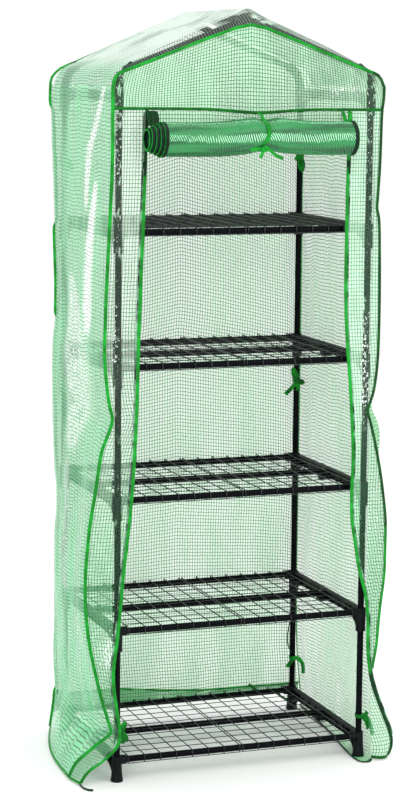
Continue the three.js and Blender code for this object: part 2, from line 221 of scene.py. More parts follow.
def film_material(
    name, haze, tint, thread, contact=None, widths=(0.0014, 0.0014),
    gloss=0.5, wander=0.002, below=None, grain=1.0,
):
    """Clear polythene with a mesh of threads in it.

    haze is how milky it is. contact is an axis, a place along it, a reach and broken: there the
    film touches a tube, which shows dark and sharp through it, in patches high up if broken is
    above 0, and painted glints show on the film. below is a height range, and the tint, thread
    colour and haze of the film under it. The glare attribute says where the film is creased and
    shines: there a painted highlight makes it whiter and more opaque, with painted white glints.
    """
    n = Nodes(name)
    mask = thread_mask(n, widths, wander)
    glare = n.add("ShaderNodeAttribute", attribute_name="glare").outputs["Fac"]
    spot = n.add("ShaderNodeSeparateXYZ", {0: n.add("ShaderNodeTexCoord").outputs["Object"]}).outputs
    streak = n.object_noise(9, (1, 1, 0.25), 4, 0.62)
    crease = n.object_noise(34, (1, 1, 0.5), 3, 0.6)
    mottle = n.object_noise(210, (1, 1, 0.7), 2, 0.6)
    uneven = n.between(streak, 0.3, 0.7)
    tone = n.mix(n.between(crease, 0.3, 0.7), tuple(0.88 * c for c in tint) + (1,), (*tint, 1))
    thread_tone = n.mix(uneven, (*thread, 1), tuple(min(1, 1.5 * c + 0.01) for c in thread) + (1,))
    if below:
        low_z, high_z, low_tint, low_thread, low_haze = below
        under = n.between(spot["Z"], low_z, high_z, 1.0, 0.0)
        tone = n.mix(under, tone, (*low_tint, 1))
        thread_tone = n.mix(under, thread_tone, (*low_thread, 1))
        haze = n.math("ADD", n.math("MULTIPLY", under, low_haze - haze), haze)
    milk = n.math("MULTIPLY", haze, n.between(uneven, 0.0, 1.0, 0.76, 1.24))
    # Painted highlight: where glare is high, the film is painted whiter and more opaque.
    milk = n.math("MAXIMUM", milk, n.math("MULTIPLY", glare, 0.8))
    tone = n.mix(n.between(glare, 0.0, 1.0, 0.0, 0.6), tone, (0.9, 0.98, 0.91, 1))
    shine = glare
    threads = n.math("MULTIPLY", mask, 0.9)
    if contact:
        axis, place, reach, broken = contact
        along_slope = axis == "Y"
        offset = MID_Y if along_slope else POST_CONTACT_X
        away = n.math("ABSOLUTE", n.math("SUBTRACT", spot[axis], offset))
        gap = n.math("ABSOLUTE", n.math("SUBTRACT", away, place))
        near = n.between(gap, reach, reach * 1.6, 1.0, 0.0)
        scale, stretch, top_shine = (34, (0.2, 1, 0.4), 0.10) if along_slope else (60, (1, 1, 0.4), 0.40)
        patches = n.object_noise(scale, stretch, 4, 0.7)
        start = n.between(spot["Z"], 1.15, 1.5, 0.32, 0.32 + broken)
        near = n.math("MULTIPLY", near, n.between(patches, start, n.math("ADD", start, 0.10)))
        clear = n.between(near, 0.0, 1.0, 1.0, 0.1)
        milk = n.math("MULTIPLY", milk, clear)
        threads = n.math("MULTIPLY", threads, n.between(near, 0.0, 1.0, 1.0, 0.3))
        # Painted glints where the film lies on a tube, more of them high up.
        gleam = n.math("MULTIPLY", near, n.between(spot["Z"], 1.2, 1.6, 0.16, top_shine))
        shine = n.math("MAXIMUM", glare, gleam)
    # Painted glints: white specks, a few all over and more where the film shines.
    low = n.between(shine, 0.0, 1.0, 0.74, 0.34)
    glint = n.between(mottle, low, n.math("ADD", low, 0.07))
    body = n.mix(mask, tone, thread_tone)
    white = n.math("MULTIPLY", glint, n.between(mask, 0.0, 1.0, 0.95, 0.4))
    n.set(
        Base_Color=n.mix(white, body, (0.93, 0.98, 0.94, 1)),
        Alpha=n.math("MAXIMUM", n.math("MAXIMUM", threads, milk), white),
        Roughness=n.between(crease, 0.2, 0.8, 0.14, 0.36),
        Normal=n.bump(n.math("ADD", n.math("MULTIPLY", mask, 0.35), crease), 0.6 * grain, 0.004),
    )
    n.surface.inputs["Specular IOR Level"].default_value = gloss
    return n.material


def tape_material(name, dark, light):
    n = Nodes(name)
    weave = n.object_noise(1400, (1, 1, 1), 1, 0.4)
    # Random light and dark patches: wear on the tapes, and on the zip coil also painted glints.
    wear_and_glint = n.object_noise(28, (1, 1, 1), 4, 0.6)
    shade = n.mix(n.between(wear_and_glint, 0.35, 0.7), (*dark, 1), (*light, 1))
    n.set(
        Base_Color=n.mix(n.between(weave, 0.35, 0.65, 0.0, 0.3), shade, (0.0, 0.05, 0.01, 1)),
        Roughness=n.between(wear_and_glint, 0.3, 0.7, 0.42, 0.6),
        Normal=n.bump(weave, 0.35, 0.0004),
    )
    n.surface.inputs["Specular IOR Level"].default_value = 0.15
    return n.material


def steel_material(name, dark, light, roughness, gloss):
    n = Nodes(name)
    cast = n.object_noise(60, (1, 1, 0.4), 4, 0.65)
    peel = n.object_noise(900, (1, 1, 1), 2, 0.5)
    n.set(
        Base_Color=n.mix(n.between(cast, 0.4, 0.75), (*dark, 1), (*light, 1)),
        Roughness=n.between(cast, 0.25, 0.75, roughness, roughness + 0.14),
        Normal=n.bump(peel, 0.12, 0.0004),
    )
    n.surface.inputs["Specular IOR Level"].default_value = gloss
    return n.material


def plastic_material(name, dark, light):
    n = Nodes(name)
    cloud = n.object_noise(24, (1, 1, 1), 4, 0.6)
    grain = n.object_noise(1600, (1, 1, 1), 2, 0.5)
    n.set(
        Base_Color=n.mix(n.between(cloud, 0.35, 0.7), (*dark, 1), (*light, 1)),
        Roughness=n.between(cloud, 0.3, 0.7, 0.4, 0.56),
        Normal=n.bump(grain, 0.2, 0.0003),
    )
    n.surface.inputs["Specular IOR Level"].default_value = 0.1
    return n.material


STEEL = steel_material("powder_coated_steel", (0.0010, 0.0016, 0.0026), (0.0022, 0.0032, 0.005), 0.2, 0.06)
WIRE = steel_material("coated_wire", (0.008, 0.011, 0.011), (0.028, 0.034, 0.034), 0.24, 0.25)
PLASTIC = plastic_material("moulded_plastic", (0.0025, 0.004, 0.005), (0.008, 0.012, 0.012))
TAPE_GREEN = tape_material("binding_tape", (0.0035, 0.19, 0.011), (0.009, 0.39, 0.031))
TAPE_TIE = tape_material("tie_ribbon", (0.001, 0.06, 0.004), (0.006, 0.34, 0.022))
# The next three are darker copies of the binding tape that carry painted shade, from light to heavy, for tape
# that lies in shadow.
TAPE_LIGHT_SHADE = tape_material("tape_painted_light_shade", (0.002, 0.085, 0.006), (0.005, 0.20, 0.016))
TAPE_SHADE = tape_material("tape_painted_shade", (0.001, 0.04, 0.003), (0.003, 0.10, 0.008))
TAPE_HEAVY_SHADE = tape_material("shaded_tape", (0.001, 0.022, 0.004), (0.002, 0.06, 0.008))
ZIP_TAPE = tape_material("zip_tape", (0.001, 0.005, 0.005), (0.002, 0.012, 0.010))
# Its light patches are partly painted glints and partly the coil's own uneven tone.
ZIP_COIL = tape_material("zip_coil", (0.001, 0.012, 0.006), (0.30, 0.60, 0.38))
SLIDER = plastic_material("zip_slider_plastic", (0.003, 0.02, 0.008), (0.006, 0.04, 0.014))
SIDE_TINT, SIDE_THREAD = (0.24, 0.685, 0.355), (0.014, 0.14, 0.045)
LOW_STRIP = (0.4, 1.0, (0.32, 0.80, 0.43), (0.02, 0.20, 0.05), 0.38)
FILM_FRONT = film_material(
    "film_front", 0.46, (0.84, 0.98, 0.87), (0.04, 0.17, 0.06), ("X", POST_X, 0.0085, 0.08),
    widths=(0.0012, 0.0012), below=LOW_STRIP,
)
FILM_FRONT_RIGHT = film_material(
    "film_front_right", 0.62, (0.66, 0.93, 0.73), (0.07, 0.27, 0.11), ("X", POST_X, 0.0085, 0.04),
    below=LOW_STRIP,
)
FILM_GABLE = film_material(
    "film_gable", 0.66, (0.55, 0.88, 0.61), (0.016, 0.15, 0.04), ("X", POST_X, 0.0095, 0.06)
)
FILM_REAR = film_material(
    "film_rear", 0.26, (0.48, 0.97, 0.56), (0.018, 0.33, 0.055),
    below=(0.1, 1.2, (0.38, 0.93, 0.48), (0.014, 0.28, 0.05), 0.42),
)
FILM_SIDE = film_material(
    "film_side", 0.72, SIDE_TINT, SIDE_THREAD, widths=(0, 0.0015), gloss=0.25, wander=0.018,
    below=(0.3, 0.9, (0.22, 0.70, 0.35), SIDE_THREAD, 0.76),
)
FILM_RIGHT = film_material(
    "film_right", 0.34, (0.40, 0.97, 0.50), (0.015, 0.30, 0.05),
    widths=(0.0010, 0.0016), gloss=0.1, wander=0.012,
)
FILM_ROOF = film_material(
    "film_roof", 0.88, (0.44, 0.55, 0.46), (0.38, 0.51, 0.41), ("Y", 0.243, 0.017, -0.07),
    gloss=0.3, grain=0.3,
    below=(1.738, 1.775, (0.26, 0.58, 0.35), SIDE_THREAD, 0.74), widths=(0.0015, 0), wander=0.018,
)


def floor_material():
    n = Nodes("floor")
    tone = n.object_noise(1.5, (1, 1, 1), 3, 0.5)
    n.set(
        Base_Color=n.mix(tone, (0.96, 0.96, 0.96, 1), (0.97, 0.97, 0.97, 1)),
        Roughness=n.between(tone, 0.2, 0.8, 0.7, 0.8),
    )
    return n.material


bpy.ops.mesh.primitive_plane_add(size=400, location=(0, 0, 0))
floor = bpy.context.object
floor.name = "floor"
floor.data.materials.append(floor_material())


# ---- Mesh tools ----


def piece(name, verts, faces, material, body=ROOT, replaces=(), uvs=None, glare=None):
    """A new object of the model. verts are about the middle of the posts, and uvs are one per vertex."""
    data = bpy.data.meshes.new(name)
    moved = np.asarray([tuple(v) for v in verts], float) + (0, MID_Y, 0)
    data.from_pydata(moved.tolist(), [], [list(f) for f in faces])
    if uvs is not None:
        layer = data.uv_layers.new(name="film")
        index = np.zeros(len(data.loops), np.int32)
        data.loops.foreach_get("vertex_index", index)
        layer.data.foreach_set("uv", np.asarray(uvs, np.float32)[index].ravel())
    if glare is not None:
        values = np.asarray(glare, np.float32)
        data.attributes.new("glare", "FLOAT", "POINT").data.foreach_set("value", values)
    data.materials.append(material)
    data.shade_smooth()
    data.update()
    made = bpy.data.objects.new(name, data)
    bpy.context.scene.collection.objects.link(made)
    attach(made, body)
    if replaces:
        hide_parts(*replaces)
    return made


class Build:
    """Collects closed shells into one mesh."""

    def __init__(self):
        self.verts, self.faces = [], []

    def add(self, verts, faces):
        base = len(self.verts)
        self.verts.extend(Vector(v) for v in verts)
        self.faces.extend([base + i for i in f] for f in faces)

    def box(self, low, high):
        x0, y0, z0 = (min(a, b) for a, b in zip(low, high))
        x1, y1, z1 = (max(a, b) for a, b in zip(low, high))
        corners = [(x, y, z) for z in (z0, z1) for y in (y0, y1) for x in (x0, x1)]
        self.add(
            corners,
            [(0, 2, 3, 1), (4, 5, 7, 6), (0, 1, 5, 4), (2, 6, 7, 3), (0, 4, 6, 2), (1, 3, 7, 5)],
        )

    def prism(self, outline, x0, x1):
        """An outline in Y and Z, counter-clockwise seen from +X, run along X."""
        count = len(outline)
        low, high = min(x0, x1), max(x0, x1)
        self.add(
            [(x, y, z) for x in (low, high) for y, z in outline],
            [tuple(reversed(range(count))), tuple(range(count, 2 * count))]
            + [(i, (i + 1) % count, (i + 1) % count + count, i + count) for i in range(count)],
        )

    def lathe(self, base, axis, profile, sides=28):
        """A profile of (distance along axis, radius), closed on itself or ending on the axis."""
        axis = Vector(axis).normalized()
        across = axis.orthogonal().normalized()
        other = axis.cross(across)
        base = Vector(base)
        verts, rings = [], []
        for along, radius in profile:
            if radius < 1e-6:
                rings.append([len(verts)] * sides)
                verts.append(base + axis * along)
                continue
            rings.append(list(range(len(verts), len(verts) + sides)))
            for k in range(sides):
                a = 2 * math.pi * k / sides
                verts.append(
                    base + axis * along + (across * math.cos(a) + other * math.sin(a)) * radius
                )
        faces = []
        for r0, r1 in zip(rings, rings[1:]):
            for k in range(sides):
                j = (k + 1) % sides
                loop = [r0[k], r0[j], r1[j], r1[k]]
                face = [v for i, v in enumerate(loop) if v not in loop[:i]]
                if len(face) > 2:
                    faces.append(face)
        self.add(verts, faces)

    def rod(self, start, end, radius, sides=20):
        start, end = Vector(start), Vector(end)
        length = (end - start).length
        self.lathe(start, end - start, [(0, 0), (0, radius), (length, radius), (length, 0)], sides)

    def wire(self, points, radius, sides=8):
        """A round wire through points, with closed ends."""
        points = [Vector(p) for p in points]
        last = len(points) - 1
        verts, faces = [], []
        normal = None
        for i, p in enumerate(points):
            tangent = (points[min(i + 1, last)] - points[max(i - 1, 0)]).normalized()
            if normal is None:
                normal = tangent.orthogonal().normalized()
            normal = (normal - tangent * normal.dot(tangent)).normalized()
            other = tangent.cross(normal)
            for k in range(sides):
                a = 2 * math.pi * k / sides
                verts.append(p + (normal * math.cos(a) + other * math.sin(a)) * radius)
        for i in range(last):
            for k in range(sides):
                j = (k + 1) % sides
                a, b = i * sides, (i + 1) * sides
                faces.append((a + k, a + j, b + j, b + k))
        faces.append(tuple(reversed(range(sides))))
        faces.append(tuple(range(last * sides, (last + 1) * sides)))
        self.add(verts, faces)

    def ribbon(self, points, width, thickness, facing, sides=10):
        """A flat band with rounded edges. facing is its face's direction at each point, or one for all."""
        square = 0.6  # how boxy its section is: 1 is an oval
        points = [Vector(p) for p in points]
        last = len(points) - 1
        verts, faces = [], []
        for i, p in enumerate(points):
            tangent = (points[min(i + 1, last)] - points[max(i - 1, 0)]).normalized()
            face = Vector(facing[i] if isinstance(facing, list) else facing)
            across = tangent.cross(face).normalized()
            face = across.cross(tangent)
            for k in range(sides):
                c, s = math.cos(2 * math.pi * k / sides), math.sin(2 * math.pi * k / sides)
                x = math.copysign(abs(c) ** square, c) * width / 2
                y = math.copysign(abs(s) ** square, s) * thickness / 2
                verts.append(p + across * x + face * y)
        for i in range(last):
            for k in range(sides):
                j = (k + 1) % sides
                a, b = i * sides, (i + 1) * sides
                faces.append((a + k, b + k, b + j, a + j))
        faces.append(tuple(range(sides)))
        faces.append(tuple(reversed(range(last * sides, (last + 1) * sides))))
        self.add(verts, faces)

    def finish(self, name, material, body=ROOT, replaces=(), bevel=0.0):
        made = piece(name, self.verts, self.faces, material, body, replaces)
        mesh = bmesh.new()
        mesh.from_mesh(made.data)
        bmesh.ops.recalc_face_normals(mesh, faces=mesh.faces)
        mesh.to_mesh(made.data)
        mesh.free()
        if bevel:
            edges = made.modifiers.new("edges", "BEVEL")
            edges.width = bevel
            edges.segments = 2
            edges.limit_method = "ANGLE"
            edges.angle_limit = SOFT_EDGE
        made.data.set_sharp_from_angle(angle=SOFT_EDGE)


def catmull(points):
    """A centripetal Catmull-Rom curve through points, as a function of t from 0 to 1."""
    p = [Vector(q) for q in points]

    def place(t):
        s = (len(p) - 1) * min(max(t, 0.0), 1.0)
        i = min(int(s), len(p) - 2)
        w = s - i
        b, c = p[i], p[i + 1]
        a = p[i - 1] if i else b * 2 - c
        d = p[i + 2] if i + 2 < len(p) else c * 2 - b
        g0, g1, g2 = (max((v - u).length ** 0.5, 1e-5) for u, v in ((a, b), (b, c), (c, d)))
        start = ((b - a) / g0 - (c - a) / (g0 + g1) + (c - b) / g1) * g1
        end = ((c - b) / g1 - (d - b) / (g1 + g2) + (d - c) / g2) * g1
        return (
            b
            + start * w
            + (c * 3 - b * 3 - start * 2 - end) * w * w
            + (b * 2 - c * 2 + start + end) * w**3
        )

    return place


def strand(points, count=14):
    """Points evenly along the curve's parameter."""
    curve = catmull(points)
    return [curve(i / count) for i in range(count + 1)]


def by_height(curve, count=500):
    """The point of a falling curve at a height."""
    table = np.array([tuple(curve(i / count)) for i in range(count + 1)])
    table[:, 2] = np.minimum.accumulate(table[:, 2])
    order = table[::-1]

    def place(z):
        return Vector([float(np.interp(z, order[:, 2], order[:, k])) for k in range(3)])

    return place


def smooth_step(x):
    x = min(max(x, 0.0), 1.0)
    return x * x * (3 - 2 * x)


def ripple(x, y, z, seed):
    return noise.noise(Vector((x, y, z + 17.3 * seed)))


def grid_faces(columns, rows, flip=False):
    """The quads of a grid of points, row by row."""
    faces = []
    for r in range(rows):
        for c in range(columns):
            a = r * (columns + 1) + c
            b = a + columns + 1
            faces.append((a, a + 1, b + 1, b) if flip else (a, b, b + 1, a + 1))
    return faces


def film_sheet(
    name, where, columns, rows, material, body=ROOT, replaces=(), anchor=0, push=None, glare=None
):
    """A sheet of film over where(u, v), moved out of its plane by push(u, v, point).

    Its UVs are metres along the row from column anchor, and down that column.
    """
    grid = [
        [where(c / columns, r / rows) for c in range(columns + 1)] for r in range(rows + 1)
    ]
    down, uvs, verts = 0.0, [], []
    for r, row in enumerate(grid):
        if r:
            down += (row[anchor] - grid[r - 1][anchor]).length
        run = [0.0]
        for a, b in zip(row, row[1:]):
            run.append(run[-1] + (b - a).length)
        uvs += [(s - run[anchor] + 50 * MESH_PITCH[0], down + 50 * MESH_PITCH[1]) for s in run]
    for r, row in enumerate(grid):
        for c, p in enumerate(row):
            if push is None:
                verts.append(p)
                continue
            across = row[min(c + 1, columns)] - row[max(c - 1, 0)]
            fall = grid[min(r + 1, rows)][c] - grid[max(r - 1, 0)][c]
            normal = across.cross(fall).normalized()
            verts.append(p + normal * push(c / columns, r / rows, p))
    faces = grid_faces(columns, rows)
    shine = [glare(p) for p in verts] if glare else None
    made = piece(name, verts, faces, material, body, replaces, uvs, glare=shine)
    return made, [verts[i * (columns + 1) : (i + 1) * (columns + 1)] for i in range(rows + 1)]


# ---- Tubes ----


def tube(node, start, end):
    build = Build()
    build.rod(start, end, TUBE_R, 28)
    build.finish(node + "_steel", STEEL, ROOT, (node,), bevel=0.0006)


ROOF_TOP = 0.012  # where the roof tubes end, under the ridge

for side_name, side in SIDES.items():
    for end_name, end in ENDS.items():
        node = f"upright_{end_name}_{side_name}"
        low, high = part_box(node)
        tube(node, (side * POST_X, end * POST_Y, low.z), (side * POST_X, end * POST_Y, high.z))
        node = f"roof_tube_{end_name}_{side_name}"
        start, stop = (
            (side * x, end * POST_Y, slope_z(x)) for x in (ROOF_KNEE, ROOF_TOP)
        )
        tube(node, start, stop)
for i, level in enumerate(LEVELS, 1):
    for place, y in (("front", -POST_Y), ("middle", 0), ("rear", POST_Y)):
        node = f"shelf{i}_tube_{place}"
        low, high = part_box(node)
        tube(node, (low.x, y, level - TUBE_DROP), (high.x, y, level - TUBE_DROP))
low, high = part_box("ridge_tube")
tube("ridge_tube", (0, low.y - MID_Y, RIDGE_Z), (0, high.y - MID_Y, RIDGE_Z))


# ---- Moulded brackets ----

BEAM_HALF = 0.008
BEAM_H = 0.024
SLEEVE_R = 0.0126
SLEEVE_DEPTH = 0.058
SLEEVE_RISE = 0.002
SLEEVE_BORE = 0.0084
SOCKET_X = 0.301  # how far out the sockets for the shelf tubes start
SOCKET_R = 0.0085
SOCKET_LENGTH = 0.0235
LIP_X = 0.3  # of the middle socket, clear of the grids' end wires


def curve_between(start, bend, end, steps=10):
    return [
        tuple(
            (1 - t) ** 2 * a + 2 * t * (1 - t) * b + t * t * c
            for a, b, c in zip(start, bend, end)
        )
        for t in (i / steps for i in range(steps + 1))
    ]


GUSSET_REACH = 0.062


def gusset_line(depth):
    """The hollow curve under the beam by the rear sleeve, from the beam to the sleeve, in Y and Z."""
    inner = POST_Y - SLEEVE_R + 0.001
    return curve_between(
        (inner - GUSSET_REACH, -BEAM_H), (inner - 0.006, -BEAM_H - 0.003), (inner, -depth + 0.003)
    )


def bracket(node, side, level, foot=False, eave=False):
    build = Build()
    x = side * POST_X
    depth = level if foot else SLEEVE_DEPTH
    inner = POST_Y - SLEEVE_R + 0.002
    # An I-section beam: two flanges, a web and small ribs.
    build.box((x - BEAM_HALF, -inner, level - 0.004), (x + BEAM_HALF, inner, level))
    build.box((x - 0.0035, -inner, level - BEAM_H + 0.001), (x + 0.0035, inner, level - 0.003))
    build.box(
        (x - BEAM_HALF, -inner + 0.055, level - BEAM_H),
        (x + BEAM_HALF, inner - 0.055, level - BEAM_H + 0.003),
    )
    ribs = 9
    for k in range(ribs):
        y = (k / (ribs - 1) - 0.5) * 2 * (inner - 0.03)
        build.box((x - 0.0068, y - 0.001, level - BEAM_H + 0.001), (x + 0.0068, y + 0.001, level - 0.002))
    for end in ENDS.values():
        line = gusset_line(depth)
        outline = [(y, level + z) for y, z in line]
        web = outline + [
            (inner, level - depth + 0.003), (inner, level - 0.003), (inner - GUSSET_REACH, level - 0.003)
        ]
        flange = outline + [(y + 0.0028, level + z + 0.0028) for y, z in reversed(line)]
        for shape, half in ((web, 0.0035), (flange, BEAM_HALF)):
            if end < 0:
                shape = [(-y, z) for y, z in reversed(shape)]
            build.prism(shape, x - half, x + half)
        y = end * POST_Y
        if foot:
            profile = [
                (0.010, 0), (0.010, SLEEVE_BORE),
                (level + SLEEVE_RISE, SLEEVE_BORE), (level + SLEEVE_RISE, 0.0118),
                (level * 0.55, 0.0124), (0.02, 0.0135), (0.009, 0.0144), (0.0065, 0.0152), (0.0012, 0.0154),
                (0.0, 0.0148), (0.0, 0),
            ]
            build.lathe((x, y, 0), (0, 0, 1), profile)
        else:
            low = level - depth
            profile = [
                (0, SLEEVE_BORE), (depth + SLEEVE_RISE, SLEEVE_BORE), (depth + SLEEVE_RISE, 0.0118),
                (depth, 0.0126), (depth - 0.012, 0.0128), (0.007, 0.0124), (0.006, 0.0129),
                (0, 0.0129), (0, SLEEVE_BORE),
            ]
            build.lathe((x, y, low), (0, 0, 1), profile)
        if eave:
            mouth_x = 0.290
            bend = Vector((x, y, slope_z(POST_X)))
            start = Vector((x, y, EAVE_LEVEL - 0.02))
            mouth = Vector((side * mouth_x, y, slope_z(mouth_x)))
            points = [
                start * (1 - t) ** 2 + bend * 2 * t * (1 - t) + mouth * t * t
                for t in (k / 14 for k in range(15))
            ]
            build.wire(points, 0.0115, 24)
            rim = [(0, 0), (0, 0.0128), (0.006, 0.0128), (0.0075, 0.0115), (0.0075, 0)]
            build.lathe(mouth, points[-2] - mouth, rim, 24)
        else:
            collar = [
                (0, SOCKET_R), (0, 0.0112), (0.004, 0.0116),
                (SOCKET_LENGTH, 0.0116), (SOCKET_LENGTH, SOCKET_R), (0, SOCKET_R),
            ]
            build.lathe((side * SOCKET_X, y, level - TUBE_DROP), (side, 0, 0), collar)
    if not eave:
        z = level - TUBE_DROP
        build.box((side * SOCKET_X, -0.0105, z - 0.021), (x, 0.0105, level - 0.001))
        lip = [(0, SOCKET_R), (0, 0.0108), (0.0025, 0.0112), (0.0025, SOCKET_R), (0, SOCKET_R)]
        build.lathe((side * LIP_X, 0, z), (side, 0, 0), lip)
        for y in (-0.0125, 0.0105):
            build.box((side * 0.304, y, level - BEAM_H - 0.002), (x, y + 0.002, level - 0.002))
    build.finish(node + "_moulding", PLASTIC, ROOT, (node,), bevel=0.0007)


for side_name, side in SIDES.items():
    for i, level in enumerate(LEVELS, 1):
        bracket(f"shelf{i}_bracket_{side_name}", side, level, foot=i == 1)
    bracket(f"eave_bracket_{side_name}", side, EAVE_LEVEL, eave=True)


ARM_REACH = 0.036


def apex(end_name, end):
    build = Build()
    y = end * POST_Y
    hub = Vector((0, y, RIDGE_Z))
    barrel = [(0, 0), (0, 0.0115), (0.0015, 0.013), (0.046, 0.0115), (0.046, 0)]
    build.lathe(hub + Vector((0, end * 0.0125, 0)), (0, -end, 0), barrel)
    for side in SIDES.values():
        mouth = Vector((side * ARM_REACH, y, slope_z(ARM_REACH)))
        along = mouth - hub
        length = along.length
        arm = [
            (0, 0), (0, 0.0115), (length - 0.006, 0.0112),
            (length - 0.005, 0.0124), (length, 0.0124), (length, 0),
        ]
        build.lathe(hub, along, arm)
    node = f"apex_connector_{end_name}"
    build.finish(node + "_moulding", PLASTIC, ROOT, (node,), bevel=0.0006)


for end_name, end in ENDS.items():
    apex(end_name, end)


# ---- Wire shelves ----

WIRE_PITCH = 0.042
CROSS_R = 0.0014
LONG_R = 0.0011


def shelf_grid(node, body, side, level):
    build = Build()
    top = level + 0.0008
    tube_z = level - TUBE_DROP
    reach = POST_Y + TUBE_R + CROSS_R + 0.0006
    drop = level - 0.0172
    xs = [side * (0.004 + k * WIRE_PITCH) for k in range(8)]
    for x in xs:
        front = [
            (x, -reach, drop), (x, -reach, tube_z),
            (x, -reach + 0.0012, tube_z + 0.006), (x, -reach + 0.005, top),
        ]
        rear = [
            (x, reach - 0.012, top), (x, reach - 0.007, top + 0.0016), (x, reach - 0.003, top + 0.0014),
            (x, reach - 0.0004, top - 0.002), (x, reach, tube_z), (x, reach, drop),
        ]
        build.wire(front + [(x, -0.1, top), (x, 0.1, top)] + rear, CROSS_R)
    ends = (min(xs) - 0.003, max(xs) + 0.003)
    under = top - CROSS_R - LONG_R
    for k in range(-5, 5):
        y = (k + 0.5) * WIRE_PITCH
        build.wire([(ends[0], y, under), (ends[1], y, under)], LONG_R)
    build.wire([(ends[0], -reach, drop), (ends[1], -reach, drop)], LONG_R)
    build.finish(node + "_wires", WIRE, body, (node,))


for i, level in enumerate(LEVELS, 1):
    for side_name, side in SIDES.items():
        shelf_grid(f"shelf{i}_grid_{side_name}", f"shelf{i}_{side_name}", side, level)


# ---- Cover: lines ----
# The cover is cut full, so its corner seams and door edges wander, and the skirt splays on the floor.

CORNER = {
    "left": [
        (-0.346, -0.247, 1.700), (-0.347, -0.247, 1.520), (-0.354, -0.245, 1.340), (-0.3605, -0.2434, 1.200),
        (-0.362, -0.243, 1.143), (-0.364, -0.2435, 1.069), (-0.3605, -0.245, 1.007), (-0.3525, -0.246, 0.944),
        (-0.3445, -0.246, 0.908), (-0.3515, -0.245, 0.881), (-0.3595, -0.244, 0.860), (-0.3695, -0.242, 0.832),
        (-0.3765, -0.239, 0.786), (-0.3845, -0.2326, 0.720), (-0.395, -0.225, 0.640), (-0.403, -0.215, 0.490),
        (-0.396, -0.218, 0.370), (-0.371, -0.236, 0.230), (-0.350, -0.246, 0.150), (-0.346, -0.248, 0.134),
        (-0.380, -0.230, 0.098), (-0.422, -0.200, 0.048), (-0.434, -0.180, 0.008),
    ],
    "right": [
        (0.350, -0.247, 1.700), (0.349, -0.247, 1.671), (0.3455, -0.247, 1.645), (0.3435, -0.247, 1.560),
        (0.342, -0.247, 1.500), (0.338, -0.247, 1.428), (0.337, -0.247, 1.405), (0.3425, -0.247, 1.378),
        (0.346, -0.247, 1.300), (0.3485, -0.247, 1.172), (0.3475, -0.247, 1.043), (0.3435, -0.2475, 0.991),
        (0.335, -0.249, 0.943), (0.3235, -0.2505, 0.913), (0.3205, -0.251, 0.900), (0.329, -0.2505, 0.870),
        (0.340, -0.250, 0.830), (0.356, -0.249, 0.759), (0.367, -0.250, 0.692), (0.376, -0.250, 0.617),
        (0.3765, -0.250, 0.549), (0.3755, -0.250, 0.480), (0.365, -0.250, 0.387), (0.357, -0.251, 0.294),
        (0.346, -0.254, 0.234), (0.344, -0.258, 0.150), (0.344, -0.263, 0.060), (0.343, -0.267, 0.008),
    ],
}
DOOR_EDGE = {
    "left": [
        (-0.2625, -0.247, 1.645), (-0.2695, -0.247, 1.400), (-0.280, -0.247, 1.110), (-0.287, -0.247, 0.860),
        (-0.300, -0.249, 0.680), (-0.318, -0.252, 0.530), (-0.334, -0.258, 0.380), (-0.348, -0.266, 0.280),
        (-0.344, -0.280, 0.200), (-0.338, -0.286, 0.150), (-0.342, -0.286, 0.112), (-0.374, -0.275, 0.074),
        (-0.410, -0.256, 0.040), (-0.422, -0.236, 0.008),
    ],
    "right": [
        (0.259, -0.247, 1.645), (0.257, -0.247, 1.400), (0.259, -0.247, 1.150), (0.275, -0.248, 0.950),
        (0.284, -0.250, 0.790), (0.281, -0.252, 0.680), (0.2835, -0.252, 0.624), (0.293, -0.252, 0.568),
        (0.303, -0.253, 0.508), (0.3235, -0.256, 0.427), (0.330, -0.258, 0.362), (0.330, -0.260, 0.296),
        (0.338, -0.262, 0.226), (0.350, -0.264, 0.182), (0.378, -0.262, 0.113), (0.397, -0.257, 0.070),
        (0.4035, -0.255, 0.045), (0.401, -0.258, 0.026), (0.390, -0.264, 0.008),
    ],
}
REAR_CORNER = {
    "left": [
        (-0.3525, 1.712), (-0.3545, 1.66), (-0.352, 1.55), (-0.348, 1.44), (-0.343, 1.27), (-0.3405, 1.18),
        (-0.3425, 1.11), (-0.350, 1.05), (-0.352, 0.94), (-0.347, 0.72), (-0.3405, 0.63), (-0.347, 0.52),
        (-0.348, 0.30), (-0.351, 0.21), (-0.346, 0.10), (-0.350, 0.06), (-0.3577, 0.008),
    ],
    "right": [
        (0.3525, 1.712), (0.347, 1.60), (0.3405, 1.48), (0.3405, 1.26), (0.3405, 1.02), (0.340, 0.62),
        (0.340, 0.30), (0.345, 0.15), (0.352, 0.08), (0.359, 0.008),
    ],
}
corner_at = {name: by_height(catmull(points)) for name, points in CORNER.items()}
edge_at = {name: by_height(catmull(points)) for name, points in DOOR_EDGE.items()}
rear_at = {
    name: by_height(catmull([(x, -FRONT_Y - 0.002, z) for x, z in points]))
    for name, points in REAR_CORNER.items()
}


def along(line, x):
    """The height of a line of (x, z) points at x."""
    return float(np.interp(x, [p[0] for p in line], [p[1] for p in line]))


def header_z(x):
    """The seam over the door dips where the tie pulls on it."""
    return HEADER_Z + 0.002 - 0.009 * math.exp(-(((x - 0.02) / 0.09) ** 2)) - 0.004 * x


def roof_z(x):
    """The film's height over the frame, at x."""
    x = abs(x)
    slope = 1.8835 - 0.4345 * (math.hypot(x, 0.007) - 0.001)
    return slope + 0.0035 * math.sin(math.pi * min(1, x / ROOF_KNEE)) + 0.0045 * math.exp(-((x / 0.025) ** 2))


